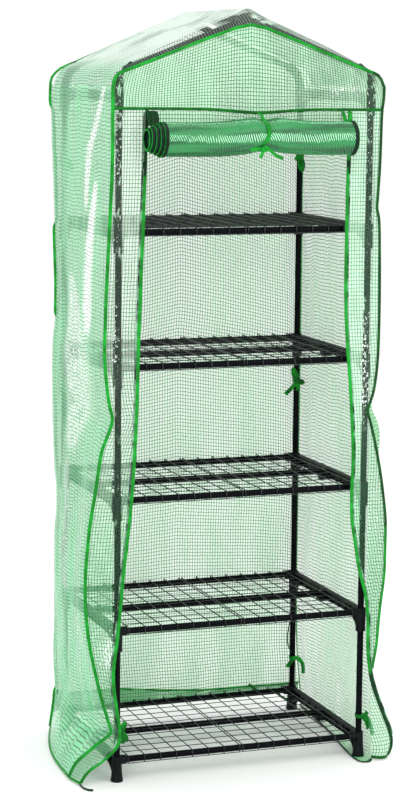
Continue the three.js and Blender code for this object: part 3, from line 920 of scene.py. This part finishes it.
GABLE_SEAM = [
    (0, 1.847), (0.040, 1.839), (0.080, 1.8245), (0.125, 1.8085), (0.170, 1.7915), (0.2115, 1.776),
    (0.252, 1.7605), (0.290, 1.7465), (0.318, 1.7362), (0.333, 1.729), (0.341, 1.7195), (0.346, 1.703),
]


def seam_z(x):
    """The seam of the gable, lower than the film over the roof tube behind it."""
    return along(GABLE_SEAM, abs(x))


def eave_x(side, v):
    """How far out the roof's edge is, from the front seam at v = 0 to the rear one."""
    front = corner_at["left" if side < 0 else "right"](EAVE_Z)
    rear = rear_at["left" if side < 0 else "right"](EAVE_Z)
    return abs(front.x) * (1 - v) + abs(rear.x) * v


EAVE_BEND_Z = 1.734


def roof_station(u, v):
    """u from 0 to 1 is from the left side seam over the ridge to the right one: the point in X and Z."""
    side = -1 if u < 0.5 else 1
    t = abs(u - 0.5) * 2
    eave = 0.84
    if t < eave:
        x = ROOF_KNEE * t / eave
        return side * x, roof_z(x)
    w = (t - eave) / (1 - eave)
    out = eave_x(side, v)
    x = (1 - w) ** 2 * ROOF_KNEE + 2 * w * (1 - w) * (out - 0.003) + w * w * out
    z = (1 - w) ** 2 * roof_z(ROOF_KNEE) + 2 * w * (1 - w) * EAVE_BEND_Z + w * w * EAVE_Z
    return side * x, z


def roof_point(u, v):
    x, z = roof_station(u, v)
    y = FRONT_Y * (1 - 2 * v)
    edge = 0.024
    gap = min(y - FRONT_Y, -FRONT_Y - y)
    drop = max(0.0, z - seam_z(x)) if abs(x) < 0.344 else max(0.0, z - EAVE_Z) * 0.3
    if y > 0:
        drop *= 0.6
    if gap < edge:
        z -= drop * (1 - math.sqrt(max(0.0, 1 - (1 - gap / edge) ** 2)))
    slack = 0.004 * math.sin(math.pi * v) * math.sin(math.pi * min(1, abs(x) / 0.32))
    return Vector((x, y, z - slack))


def roof_push(u, v, p):
    hold = smooth_step(min(v, 1 - v) / 0.12) * smooth_step(min(u, 1 - u) / 0.04)
    return hold * (0.004 * ripple(p.x * 7, p.y * 5, 0, 1) + 0.0012 * ripple(p.x * 20, p.y * 9, 0, 2))


roof_film, _ = film_sheet(
    "cover_roof_film", roof_point, 120, 60, FILM_ROOF, replaces=("cover_roof",), push=roof_push
)


def end_push(amount, seed):
    def push(u, v, p):
        hold = smooth_step(min(u, 1 - u) / 0.06) * smooth_step(min(v, 1 - v) / 0.05)
        broad = ripple(p.x * 6, p.z * 2.2, 0, seed)
        fine = ripple(p.x * 21, p.z * 9, 0, seed + 1)
        return hold * amount * (broad + 0.45 * fine)

    return push


def gable_point(u, v):
    x = GABLE_HALF * (2 * u - 1)
    low = header_z(x)
    top = seam_z(x)
    z = top + (low - top) * v
    if z < EAVE_Z and abs(x) > 0.30:
        out = abs(corner_at["left" if x < 0 else "right"](z).x)
        x *= 1 + (out / GABLE_HALF - 1) * (abs(x) - 0.30) / 0.046
    return Vector((x, FRONT_Y, z))


# Painted highlight: a patch of white glare low on the right of the gable, and a faint one near its top.
def gable_glare(p):
    patch = math.exp(-(((p.x - 0.21) / 0.13) ** 4) - ((p.z - 1.683 - 0.10 * (p.x - 0.2)) / 0.036) ** 4)
    uneven = 0.30 + 0.32 * ripple(p.x * 26, p.z * 34, 0, 51)
    return max(patch * uneven, 0.28 * math.exp(-(((p.x + 0.06) / 0.05) ** 2) - ((p.z - 1.80) / 0.02) ** 2))


gable_film, _ = film_sheet(
    "cover_front_gable_film", gable_point, 120, 32, FILM_GABLE,
    replaces=("cover_front_gable",), anchor=60, push=end_push(0.004, 3), glare=gable_glare,
)

REAR_HEM = 0.048
REAR_BAND = [(-0.35, 0.097), (-0.158, 0.094), (-0.05, 0.081), (0.064, 0.071), (0.166, 0.069), (0.35, 0.067)]
REAR_FOLD_X, REAR_FOLD_WIDTH = -0.342, 0.694


def rear_band_z(x):
    """The top of the rear hem's fold, which slopes."""
    return along(REAR_BAND, x)


def rear_point(u, v):
    x = GABLE_HALF * (2 * u - 1)
    sunk = 0.4 * max(0.0, roof_z(abs(x)) - seam_z(x))
    top = roof_z(min(abs(x), ROOF_KNEE)) - sunk - 1.2 * max(0, abs(x) - ROOF_KNEE)
    z = top + (REAR_HEM + 0.003 * math.sin(9 * u) - top) * v
    if z < EAVE_Z:
        left, right = rear_at["left"](z), rear_at["right"](z)
        reach = left.x + (right.x - left.x) * u
        blend = smooth_step((EAVE_Z - z) / 0.05)
        x += (reach - x) * blend
    return Vector((x, -FRONT_Y, z))


def rear_push(u, v, p):
    hold = smooth_step(min(u, 1 - u) / 0.05) * smooth_step(v / 0.04)
    low = 1 + 1.4 * smooth_step((0.7 - p.z) / 0.7)
    return hold * low * (
        0.0035 * ripple(p.x * 6, p.z * 1.5, 0, 5) + 0.0018 * ripple(p.x * 19, p.z * 5, 0, 6)
    )


rear_film, rear_rows = film_sheet(
    "cover_rear_film", rear_point, 84, 200, FILM_REAR,
    replaces=("cover_rear_panel",), anchor=42, push=rear_push,
)


def rear_fold_point(u, v):
    x = REAR_FOLD_X + REAR_FOLD_WIDTH * u
    z = rear_band_z(x) * (1 - v) + (REAR_HEM + 0.001) * v
    return Vector((x, -FRONT_Y + 0.004 - 0.002 * ripple(x * 30, z * 8, 0, 6), z))


rear_fold, _ = film_sheet("rear_hem_fold", rear_fold_point, 84, 6, FILM_SIDE)


def hem_curve(points):
    """A curve on the floor through (x, y) points, by its share of length."""
    curve = catmull([(x, y, 0) for x, y in points])
    table = [curve(i / 200) for i in range(201)]
    run = np.concatenate([[0], np.cumsum([(b - a).length for a, b in zip(table, table[1:])])])
    run /= run[-1]
    return lambda u: Vector([float(np.interp(u, run, [p[k] for p in table])) for k in range(3)])


# The right hem is tucked inwards between the feet, and passes in front of the front one.
tucked_hem = hem_curve([
    (0.343, -0.267), (0.328, -0.284), (0.312, -0.280), (0.3065, -0.262), (0.3065, -0.228),
    (0.316, -0.150), (0.337, -0.006), (0.351, 0.129), (0.359, 0.245),
])


def side_body(side_name, fullness, across, z):
    side = SIDES[side_name]
    p = corner_at[side_name](z).lerp(rear_at[side_name](z), across)
    out = abs(p.x) + fullness * (1 - z / EAVE_Z) ** 4 * math.sin(math.pi * across)
    if side > 0:
        out += 0.031 * math.exp(-(((z - 0.855) / 0.080) ** 2)) * across / 0.05 * math.exp(1 - across / 0.05)
    # Past the post the film lies outside it.
    out = max(out, 0.30 + 0.0415 * smooth_step((p.y - FRONT_Y) / 0.014))
    return Vector((side * out, p.y, z))


def left_side_point(u, v):
    return side_body("left", 0.022, 1 - u, EAVE_Z + (0.008 - EAVE_Z) * v)


def right_side_point(u, v):
    """Down to the floor, then inwards along the tucked hem."""
    near_foot = max(smooth_step((0.30 - u) / 0.12), smooth_step((u - 0.82) / 0.08))
    low = 0.046 - 0.0435 * near_foot
    fold = 0.97
    if v < fold:
        return side_body("right", 0.006, u, EAVE_Z + (low - EAVE_Z) * v / fold)
    foot = side_body("right", 0.006, u, low)
    hem = tucked_hem(u)
    hem.z = 0.0015
    return foot.lerp(hem, (v - fold) / (1 - fold))


def crease_glare_line(points, strength):
    """How much a crease shines, as painted highlight and white stress in the film: points are (z, y, half
    width) down its line.
    """
    z, y, width = np.array(points[::-1]).T

    def shine(p):
        if not z[0] < p.z < z[-1]:
            return 0.0
        gap = abs(p.y - np.interp(p.z, z, y)) / np.interp(p.z, z, width)
        fade = smooth_step((z[-1] - p.z) / 0.05) * smooth_step((p.z - z[0]) / 0.05)
        return strength * fade * (1 - smooth_step(gap - 0.4))

    return shine


# Painted highlights: glare along creases down the left side, where the film is also whitened by stress.
LEFT_CREASE_GLARE = [
    crease_glare_line(points, strength)
    for strength, points in (
        (0.66, [(1.735, -0.205, 0.014), (1.63, -0.135, 0.024), (1.544, -0.070, 0.030), (1.46, -0.050, 0.024),
                (1.37, -0.045, 0.016)]),
        (0.74, [(1.50, -0.127, 0.012), (1.39, -0.100, 0.030), (1.31, -0.080, 0.044), (1.16, -0.0735, 0.052),
                (1.06, -0.072, 0.020)]),
        (0.54, [(1.26, 0.100, 0.015), (1.094, 0.023, 0.12), (0.995, 0.006, 0.15), (0.894, 0.0055, 0.11),
                (0.76, 0.0574, 0.04)]),
        (0.44, [(0.80, 0.0768, 0.03), (0.602, 0.068, 0.05), (0.555, 0.0416, 0.05), (0.40, 0.024, 0.03)]),
    )
]


def left_glare(p):
    return max(crease(p) for crease in LEFT_CREASE_GLARE)


def side_push(seed):
    def push(u, v, p):
        hold = smooth_step(min(u, 1 - u) / 0.07) * smooth_step(v / 0.03) * smooth_step((0.985 - v) / 0.03)
        low = 0.8 + 1.2 * v
        folds = 0.006 * ripple(p.y * 7, p.z * 1.3, 0, seed)
        folds += 0.003 * ripple(p.y * 16, p.z * 4.5, 0, seed + 1)
        folds += 0.0012 * ripple(p.y * 45, p.z * 16, 0, seed + 2)
        return hold * low * folds

    return push


side_rows = {}
for side_name, where, seed, film, glare, anchor in (
    ("left", left_side_point, 7, FILM_SIDE, left_glare, 0),
    ("right", right_side_point, 11, FILM_RIGHT, None, 48),
):
    made, side_rows[side_name] = film_sheet(
        f"cover_side_{side_name}_film", where, 96, 240, film,
        replaces=(f"cover_side_{side_name}",), anchor=anchor, push=side_push(seed), glare=glare,
    )


def strip_point(side_name):
    side = SIDES[side_name]

    def place(u, v):
        top = header_z(side * 0.3)
        z = top + (0.008 - top) * v
        outer = corner_at[side_name](z)
        inner = edge_at[side_name](z)
        across = 1 - u if side > 0 else u
        p = outer.lerp(inner, across)
        if side > 0:
            p.y -= 0.016 * smooth_step((0.07 - z) / 0.06) * math.sin(math.pi * across)
        return p

    return place


def strip_push(seed):
    def push(u, v, p):
        hold = smooth_step(min(u, 1 - u) / 0.2)
        broad = 0.003 * ripple(p.x * 14, p.z * 4, 0, seed)
        return hold * (broad + 0.0015 * ripple(p.x * 40, p.z * 18, 0, seed + 1))

    return push


# Painted highlights: white glare and glints on the front strips, up beside the posts and in patches lower
# down.
def strip_glare(side_name):
    side = SIDES[side_name]

    def shine(p):
        wander = 0.5 + 1.1 * ripple(0, p.z * 3.1, 0, 31 + side)
        if side < 0:
            patch = math.exp(-(((p.x + 0.352) / 0.03) ** 2) - ((p.z - 0.33) / 0.07) ** 2)
            beside = math.exp(-(((p.x + 0.336) / 0.012) ** 2)) * smooth_step((p.z - 0.75) / 0.3)
            return max(0.62 * patch, 0.6 * wander * beside)
        band = math.exp(-(((p.x - 0.312) / 0.022) ** 2)) * smooth_step((p.z - 0.75) / 0.2)
        low = math.exp(-(((p.x - 0.345) / 0.03) ** 2) - ((p.z - 0.66) / 0.12) ** 2)
        return max(0.62 * min(1, max(0, wander)) * band, 0.42 * low)

    return shine


strip_rows = {}
for side_name, seed, film in (("left", 15, FILM_FRONT), ("right", 18, FILM_FRONT_RIGHT)):
    made, strip_rows[side_name] = film_sheet(
        f"cover_strip_{side_name}_film", strip_point(side_name), 16, 260, film,
        replaces=(f"cover_strip_{side_name}",), push=strip_push(seed), glare=strip_glare(side_name),
    )


# ---- Cover: binding tapes ----


def tape_line(name, points, facing, width=TAPE, thickness=0.0026, material=TAPE_GREEN):
    build = Build()
    build.ribbon(points, width, thickness, facing)
    build.finish(name, material, ROOT)


def heights(top, bottom, count):
    return [top + (bottom - top) * i / count for i in range(count + 1)]


def rear_tape_hides(z):
    """Where the rear corner's tape rolls in behind the film."""
    upper = smooth_step((1.655 - z) / 0.03) * smooth_step((z - 1.33) / 0.03)
    lower = smooth_step((1.12 - z) / 0.03) * smooth_step((z - 0.10) / 0.03)
    return max(upper, lower)


def rear_tape_offset(side, z):
    """The left rear tape rolls in behind the film, and the right one lies outside it."""
    if side < 0:
        return Vector((-0.003 + 0.010 * rear_tape_hides(z), 0, 0))
    return Vector((0.004, 0.003, 0))


# The right corner's upper tape takes a darker copy of the binding tape: painted shade.
CORNER_TAPES = [
    ("left", "left", EAVE_Z, 0.009, TAPE_GREEN),
    ("right_upper", "right", EAVE_Z, 0.60, TAPE_SHADE),
    ("right_lower", "right", 0.605, 0.236, TAPE_GREEN),
]
for name, side_name, top, bottom, material in CORNER_TAPES:
    side = SIDES[side_name]
    over = [Vector((side * x, FRONT_Y, z)) for x, z in GABLE_SEAM[8:11]] if top == EAVE_Z else []
    seam = over + [corner_at[side_name](z) for z in heights(top, bottom, 260)]
    line = [p + Vector((side * 0.001, -0.001, 0)) for p in seam]
    tape_line(f"corner_tape_{name}", line, Vector((side * 0.35, -1, 0)), material=material)

# On the right, the side hem and the strip hem take darker copies of the binding tape: painted shade.
for side_name, rear_width, side_hem, strip_hem in (
    ("left", 0.008, TAPE_GREEN, TAPE_GREEN),
    ("right", 0.006, TAPE_HEAVY_SHADE, TAPE_LIGHT_SHADE),
):
    side = SIDES[side_name]
    over = [roof_point(0.5 + side * 0.5 * t / 24, 1) for t in range(19, 25)]
    round_eave = [p + Vector((side * 0.002, 0.001, 0.003)) for p in over]
    rear = [rear_at[side_name](z) + rear_tape_offset(side, z) for z in heights(1.69, 0.010, 160)]
    facing = [Vector((side, -0.8, 0.8))] * len(round_eave) + [Vector((side, -0.8, 0))] * len(rear)
    tape_line(f"rear_corner_tape_{side_name}", round_eave + rear, facing, width=rear_width)
    hem = [p + Vector((0, 0, 0.001)) for p in side_rows[side_name][-1]]
    tape_line(f"side_hem_tape_{side_name}", hem, Vector((side * 0.4, 0, 1)), 0.007, material=side_hem)
    hem = strip_rows[side_name][-1]
    tape_line(f"strip_hem_tape_{side_name}", hem, Vector((0, -1, 0.2)), 0.007, material=strip_hem)

# The top of the left door edge and the foot of the right one take the darkest copy of the binding tape:
# painted shade.
DOOR_TAPES = [
    ("left_top", "left", header_z(-0.26), 1.49, TAPE_HEAVY_SHADE, 0.008),
    ("left", "left", 1.495, 0.009, TAPE_GREEN, TAPE),
    ("right", "right", header_z(0.26), 0.225, TAPE_GREEN, TAPE),
    ("right_foot", "right", 0.232, 0.009, TAPE_HEAVY_SHADE, 0.0095),
]
for name, side_name, top, bottom, material, width in DOOR_TAPES:
    edge = [edge_at[side_name](z) + Vector((0, -0.001, 0)) for z in heights(top, bottom, 260)]
    tape_line(f"door_edge_tape_{name}", edge, Vector((0, -1, 0)), width=width, material=material)

line = [Vector((0.3195 * k / 58, 0, seam_z(0.3195 * k / 58))) for k in range(-58, 59)]
front = [Vector((p.x, FRONT_Y - 0.001, p.z)) for p in line]
tape_line("gable_tape_front", front, Vector((0, -1, 0)), width=0.0075)
line = [Vector((p.x, -FRONT_Y + 0.001, p.z + 0.001)) for p in rear_rows[0][2:-2]]
tape_line("gable_tape_rear", line, Vector((0, 1, 0)), width=0.006)
# The seam over the door takes a darker copy of the binding tape: painted shade.
header = [
    Vector((x, FRONT_Y - 0.001, header_z(x))) for x in (GABLE_HALF * k / 50 for k in range(-50, 51))
]
tape_line("header_tape", header, Vector((0, -1, 0)), width=0.007, material=TAPE_LIGHT_SHADE)
band = [
    Vector((x, -FRONT_Y - 0.004, rear_band_z(x)))
    for x in (REAR_FOLD_X + REAR_FOLD_WIDTH * k / 84 for k in range(85))
]
tape_line("rear_band_tape", band, Vector((0, -1, 0)), width=0.005, thickness=0.0014)

# These loose tapes take darker copies of the binding tape: painted shade.
LOOSE_TAPES = [
    ("strip_hem_tail_left", [(-0.421, -0.224, 0.003), (-0.421, -0.2585, 0.003), (-0.413, -0.278, 0.003),
                             (-0.404, -0.283, 0.003)], 24, (0.2, -1, 0.6), 0.006, 0.0026, TAPE_HEAVY_SHADE),
]
for name, start, end in (
    ("a", (0.205, 0.243, 0.075), (0.262, 0.242, 0.052)),
    ("b", (0.285, 0.242, 0.046), (0.330, 0.226, 0.030)),
):
    bow = Vector(start).lerp(Vector(end), 0.5) + Vector((0, -0.004, -0.010))
    LOOSE_TAPES.append(
        (f"rear_hem_scrap_{name}", [start, bow, end], 16, (0, -1, 0.3), 0.007, 0.0026, TAPE_LIGHT_SHADE)
    )
hanging = [
    (POST_X - dx, POST_Y - 0.006, z)
    for dx, z in ((0.012, 0.246), (0.018, 0.205), (0.015, 0.180), (0.006, 0.162))
]
LOOSE_TAPES.append(("tape_end_rear_right", hanging, 20, (0, -1, 0), 0.0032, 0.0014, TAPE_HEAVY_SHADE))
for name, points, count, facing, width, thickness, material in LOOSE_TAPES:
    tape_line(name, strand(points, count), Vector(facing), width, thickness, material)


# ---- Rolled door ----

ROLL_Y, ROLL_R = -0.2952, 0.0425
ROLL_TURNS, ROLL_LAYER = 5.0, 0.0042  # turns of film, and how far apart they are
TIE_X = 0.0185
HATCH_PITCH = 0.0060


def roll_axis_z(x):
    return 1.5755 + 0.0105 * math.exp(-(((x - TIE_X) / 0.075) ** 2)) + 0.002 * smooth_step(x / 0.1)


def roll_radius(x, angle, layer):
    pinch = math.exp(-(((x - TIE_X) / 0.024) ** 2))
    folds = 1 + 0.05 * pinch * math.sin(7 * angle + 1.3)
    swell = 1 + 0.02 * ripple(x * 9, angle * 0.8, 0, 21)
    belly = 1 + 0.05 * math.exp(-(((x + 0.02) / 0.13) ** 2))
    return layer * (1 - 0.17 * pinch) * folds * swell * belly


def roll_film():
    """The rolled door: a spiral of film, stepped out at its left end, that leaves upwards behind the roll."""
    steps, columns = 44, 90
    total = int(ROLL_TURNS * steps)
    verts, uvs, shine = [], [], []
    run = 0.0
    for k in range(total + 1):
        inset = ROLL_TURNS - k / steps
        layer = ROLL_R - ROLL_LAYER * inset
        angle = -2 * math.pi * inset + 0.5 * math.pi
        left = -0.236 - 0.0095 * min(4.0, inset)
        right = 0.245 - 0.003 * min(4.0, inset)
        run += 2 * math.pi * layer / steps
        for c in range(columns + 1):
            x = left + (right - left) * c / columns
            r = roll_radius(x, angle, layer)
            verts.append(Vector((x, ROLL_Y + math.sin(angle) * r, roll_axis_z(x) + math.cos(angle) * r)))
            uvs.append((x + 1.0 + 0.03 * run, run + 0.25 * x))
            # Painted highlights: bands along the roll where the film faces up and where it faces forward, kept
            # as its glare.
            facing = math.degrees(angle) % 360 - 270
            sway = 6 * ripple(x * 8, 0, 0, 41)
            top = math.exp(-(((facing - 66 - sway) / 15) ** 2))
            front = math.exp(-(((facing - 4 - 2 * sway) / 19) ** 4))
            shine.append(max(0.8 * top, (0.84 + 0.08 * math.sin(11 * x + 1)) * front))
    return verts, grid_faces(columns, total, flip=True), uvs, columns, total, shine


def roll_material():
    """Many layers of film: dark and light streaks along it, with the threads as fine hatching, and painted
    highlight bands where the glare attribute is high.
    """
    n = Nodes("rolled_film")
    glare = n.add("ShaderNodeAttribute", attribute_name="glare").outputs["Fac"]
    film = n.add("ShaderNodeUVMap", uv_map="film").outputs["UV"]
    uv = n.add("ShaderNodeSeparateXYZ", {0: film}).outputs
    lean = n.math("MULTIPLY", n.math("SUBTRACT", n.object_noise(16, (1, 1, 1), 2, 0.5), 0.5), 0.03)
    slant = n.math("ADD", n.math("ADD", uv["X"], n.math("MULTIPLY", uv["Y"], 0.3)), lean)
    hatch = n.between(n.math("PINGPONG", slant, HATCH_PITCH / 2), HATCH_PITCH * 0.12, HATCH_PITCH * 0.36)
    streak = n.object_noise(52, (0.07, 1, 1), 3, 0.6)
    fine = n.object_noise(240, (0.8, 0.8, 0.8), 2, 0.6)
    deep = n.mix(n.between(streak, 0.38, 0.62), (0.002, 0.05, 0.012, 1), (0.018, 0.22, 0.055, 1))
    weave = n.mix(n.math("MULTIPLY", hatch, 0.45), deep, (0.035, 0.29, 0.10, 1))
    # Painted highlight: where glare is high, more of the roll is painted light green.
    low = n.between(glare, 0.0, 1.0, 1.25, 0.50)
    bright = n.math("ADD", n.math("MULTIPLY", fine, 0.6), n.math("MULTIPLY", hatch, 0.45))
    n.set(
        Base_Color=n.mix(n.between(bright, low, n.math("ADD", low, 0.16)), weave, (0.36, 0.80, 0.48, 1)),
        Roughness=n.between(fine, 0.3, 0.7, 0.2, 0.4),
        Normal=n.bump(n.math("ADD", hatch, fine), 0.5, 0.0016),
    )
    n.surface.inputs["Specular IOR Level"].default_value = 0.45
    return n.material


verts, faces, uvs, columns, total, shine = roll_film()
roll_piece = piece(
    "door_roll_film", verts, faces, roll_material(), "door", ("door_roll",), uvs, shine
)

# The zip tapes along the door's edges show as dark rings at the roll's ends.
for end_name, column, out in (("left", 0, -0.0048), ("right", columns, 0.0048)):
    build = Build()
    ring = [verts[k * (columns + 1) + column] for k in range(total + 1)]
    facing = [Vector((0, p.y - ROLL_Y, p.z - roll_axis_z(p.x))).normalized() for p in ring]
    build.ribbon(ring, 0.0100, 0.0030, facing, sides=8)
    build.finish(f"door_zip_tape_{end_name}", ZIP_TAPE, "door")
    build = Build()
    build.ribbon([p + Vector((out, 0, 0)) for p in ring], 0.0010, 0.0034, facing, sides=6)
    build.finish(f"door_zip_edge_{end_name}", TAPE_GREEN, "door")


def curtain_point(u, v):
    x = -0.238 + 0.484 * u
    top = Vector((x, FRONT_Y - 0.0055, header_z(x) - 0.0045))
    radius = roll_radius(x, math.pi / 2, ROLL_R)
    low = Vector((x, ROLL_Y + radius * 0.97, roll_axis_z(x) + radius * 0.22))
    return top.lerp(low, v)


curtain, _ = film_sheet(
    "door_curtain_film", curtain_point, 90, 10, FILM_GABLE, "door", ("door_curtain",),
    push=end_push(0.0015, 24),
)


# ---- Ties ----


# The tie round the roll, its knot, and a loose bow under it.
build = Build()
hoop = []
for k in range(37):
    a = math.radians(20 + 296 * k / 36)
    r = roll_radius(TIE_X, a, ROLL_R) + 0.0014
    x = TIE_X - 0.008 + 0.006 * math.sin(min(1, k / 12) * math.pi) - 0.009 * smooth_step((k - 8) / 6)
    hoop.append(Vector((x, ROLL_Y - math.sin(a) * r, roll_axis_z(TIE_X) + math.cos(a) * r)))
start = Vector((TIE_X + 0.002, FRONT_Y - 0.003, header_z(TIE_X)))
reach = [start, start.lerp(hoop[0], 0.5) + Vector((0, -0.004, 0.002))]
outwards = [(p - Vector((p.x, ROLL_Y, roll_axis_z(TIE_X)))).normalized() for p in hoop]
build.ribbon(reach + hoop, 0.010, 0.0014, [Vector((0, -1, 0.8))] * 2 + outwards)
knot = Vector((TIE_X - 0.017, ROLL_Y - 0.029, roll_axis_z(TIE_X) - 0.031))
bead = [(0, 0), (0.001, 0.004), (0.006, 0.0062), (0.011, 0.004), (0.012, 0)]
build.lathe(knot + Vector((0, 0, -0.006)), (0.1, -0.2, 1), bead, 12)
for tail in (
    [(0, 0, 0), (0.014, -0.006, -0.002), (0.034, -0.006, -0.016), (0.052, -0.003, -0.024)],
    [(0, 0, 0), (-0.010, -0.006, 0.001), (-0.022, -0.005, -0.001), (-0.030, -0.002, -0.002)],
    [(0, 0, 0), (-0.002, -0.004, -0.012), (-0.005, -0.003, -0.022)],
    [(0, 0, 0), (0.006, -0.006, 0.004), (0.012, -0.006, 0.001), (0.007, -0.004, -0.004), (0, 0, 0)],
):
    build.ribbon([p + knot for p in strand(tail)], 0.0085, 0.0012, Vector((0.15, -1, 0.25)))
build.finish("door_tie_ribbon", TAPE_GREEN, "door", ("door_tie",))


def header_loop(name, x, drop, gap, material, width):
    """A pair of ribbons hanging from the seam over the door, past the roll's end."""
    build = Build()
    z = header_z(x)
    for offset in (-gap, gap):
        points = [
            (x + offset, FRONT_Y - 0.0055, z - 0.0055),
            (x + offset * 1.2, FRONT_Y - 0.014, z - drop * 0.45),
            (x + offset, FRONT_Y - 0.020, z - drop),
        ]
        build.ribbon(strand(points), width, 0.0013, Vector((0.2, -1, 0.1)))
    points = [
        (x - gap, FRONT_Y - 0.020, z - drop + 0.001),
        (x, FRONT_Y - 0.021, z - drop - 0.005),
        (x + gap, FRONT_Y - 0.020, z - drop + 0.001),
    ]
    build.ribbon(strand(points), 0.0085, 0.0013, Vector((0, -1, 0)))
    build.finish(name, material, "door")


# The left loop takes the darkest copy of the binding tape: painted shade.
header_loop("header_loop_left", -0.252, 0.040, 0.0045, TAPE_HEAVY_SHADE, 0.021)
header_loop("header_loop_right", 0.2475, 0.027, 0.007, TAPE_GREEN, 0.0115)


def post_tie(name, post, z, turn, material, tails):
    """A ribbon tied round a post: a band, a knot and loose ends, each a list of points from the knot."""
    build = Build()
    x, y = post
    r = TUBE_R + 0.0012
    ring = [
        Vector((x + r * math.cos(a), y + r * math.sin(a), z + 0.002 * math.sin(a)))
        for a in (2 * math.pi * k / 24 for k in range(25))
    ]
    build.ribbon(ring, 0.009, 0.0014, [(p - Vector((x, y, p.z))).normalized() for p in ring])
    heading = math.radians(turn)
    knot = Vector((x + (r + 0.002) * math.sin(heading), y - (r + 0.002) * math.cos(heading), z))
    bead = [(0, 0), (0.001, 0.0035), (0.005, 0.0052), (0.009, 0.0035), (0.010, 0)]
    build.lathe(knot + Vector((0, 0, -0.005)), (0, 0, 1), bead, 12)
    for tail in tails:
        line = [p + knot for p in strand([(0, 0, 0), *tail])]
        build.ribbon(line, 0.0115, 0.0014, Vector((0.1, -1, 0.2)))
    build.finish(name, material, ROOT)


def loop(dx, dz, wide=0.007):
    """A bow's loop, out towards (dx, dz) and back."""
    return [
        (dx * 0.55 - dz * 0.13, -wide * 0.6, dz * 0.55 + dx * 0.13),
        (dx, -wide * 0.4, dz),
        (dx * 0.5 + dz * 0.13, -wide * 0.2, dz * 0.5 - dx * 0.13),
        (0, 0, 0),
    ]


TIES = [
    ("rear_right_top", 1.512, -10, TAPE_TIE, [loop(0.003, -0.036), loop(-0.014, -0.006)]),
    ("rear_right_middle", 0.912, -20, TAPE_TIE, [
        loop(-0.012, 0.034),
        loop(0.018, -0.004),
        [(-0.012, -0.004, -0.014), (-0.034, -0.004, -0.034)],
        [(0.004, -0.003, -0.014), (0.002, -0.002, -0.026)],
    ]),
    ("rear_right_low", 0.145, -10, TAPE_TIE, [
        [(-0.010, -0.004, -0.010), (-0.020, -0.003, -0.022)],
        [(0.012, -0.005, 0.001), (0.026, -0.004, -0.016), (0.030, -0.002, -0.044)],
    ]),
    # Its darker copy of the binding tape is painted shade.
    ("front_right_low", 0.108, 25, TAPE_LIGHT_SHADE, [
        [(0.010, -0.004, -0.004), (0.022, -0.004, -0.024), (0.030, -0.002, -0.052)],
        [(0.008, -0.004, -0.010), (0.018, -0.003, -0.034)],
        [(0.008, -0.003, 0.004), (0.013, -0.002, 0.010)],
    ]),
    ("front_left_low", 0.128, 40, TAPE_TIE, [
        loop(0.010, 0.022),
        loop(0.014, -0.022),
        [(0.006, -0.004, -0.014), (0.004, -0.002, -0.030)],
    ]),
    ("rear_left_low", 0.10, -50, TAPE_GREEN, [
        loop(-0.012, 0.012),
        [(-0.010, -0.003, -0.012), (-0.012, -0.002, -0.030)],
    ]),
    ("rear_left_middle", 0.912, 20, TAPE_GREEN, [
        loop(-0.012, 0.024),
        [(0.010, -0.003, -0.014), (0.012, -0.002, -0.034)],
    ]),
    ("rear_left_top", 1.512, 10, TAPE_GREEN, [loop(0.012, -0.030), loop(-0.012, -0.010)]),
]
for place, z, turn, material, tails in TIES:
    end_name, side_name, _ = place.split("_")
    post = (SIDES[side_name] * POST_X, ENDS[end_name] * POST_Y)
    post_tie(f"tie_{place}", post, z, turn, material, tails)


# ---- Zips ----

SLIDER_GAP = 0.0006  # keeps the sliders off the tapes all the way down

for side_name, side in SIDES.items():
    coil = Build()
    away = side * (TAPE / 2 + 0.002)
    line = [edge_at[side_name](z) + Vector((away, 0.0002, 0)) for z in heights(HEADER_Z - 0.004, 0.06, 240)]
    coil.ribbon(line, 0.0042, 0.0020, Vector((0, -1, 0)), sides=6)
    coil.finish(f"zip_coil_{side_name}", ZIP_COIL, ROOT)
    node = f"zip_slider_{side_name}"
    low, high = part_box(node)
    mid = (low + high) / 2
    x, y = mid.x, low.y - MID_Y - SLIDER_GAP
    slider = Build()
    top = high.z
    outline = [
        (y + 0.0012, top - 0.016), (y + 0.0046, top - 0.016), (y + 0.0046, top - 0.001),
        (y + 0.0030, top), (y + 0.0012, top - 0.002),
    ]
    slider.prism(outline, x - 0.0045, x + 0.0045)
    bridge = [(x, y + 0.0014, top - 0.003), (x, y - 0.0004, top - 0.005), (x, y + 0.0002, top - 0.012)]
    slider.wire(bridge, 0.0009)
    lean = side * 0.0015
    pull = [
        (x, y + 0.0003, top - 0.009),
        (x + lean, y + 0.0001, top - 0.020),
        (x + lean, y + 0.0003, top - 0.033),
    ]
    slider.ribbon(pull, 0.0045, 0.0011, Vector((0, -1, 0)))
    slider.finish(node + "_pull", SLIDER, f"zip_{side_name}", (node,), bevel=0.0004)
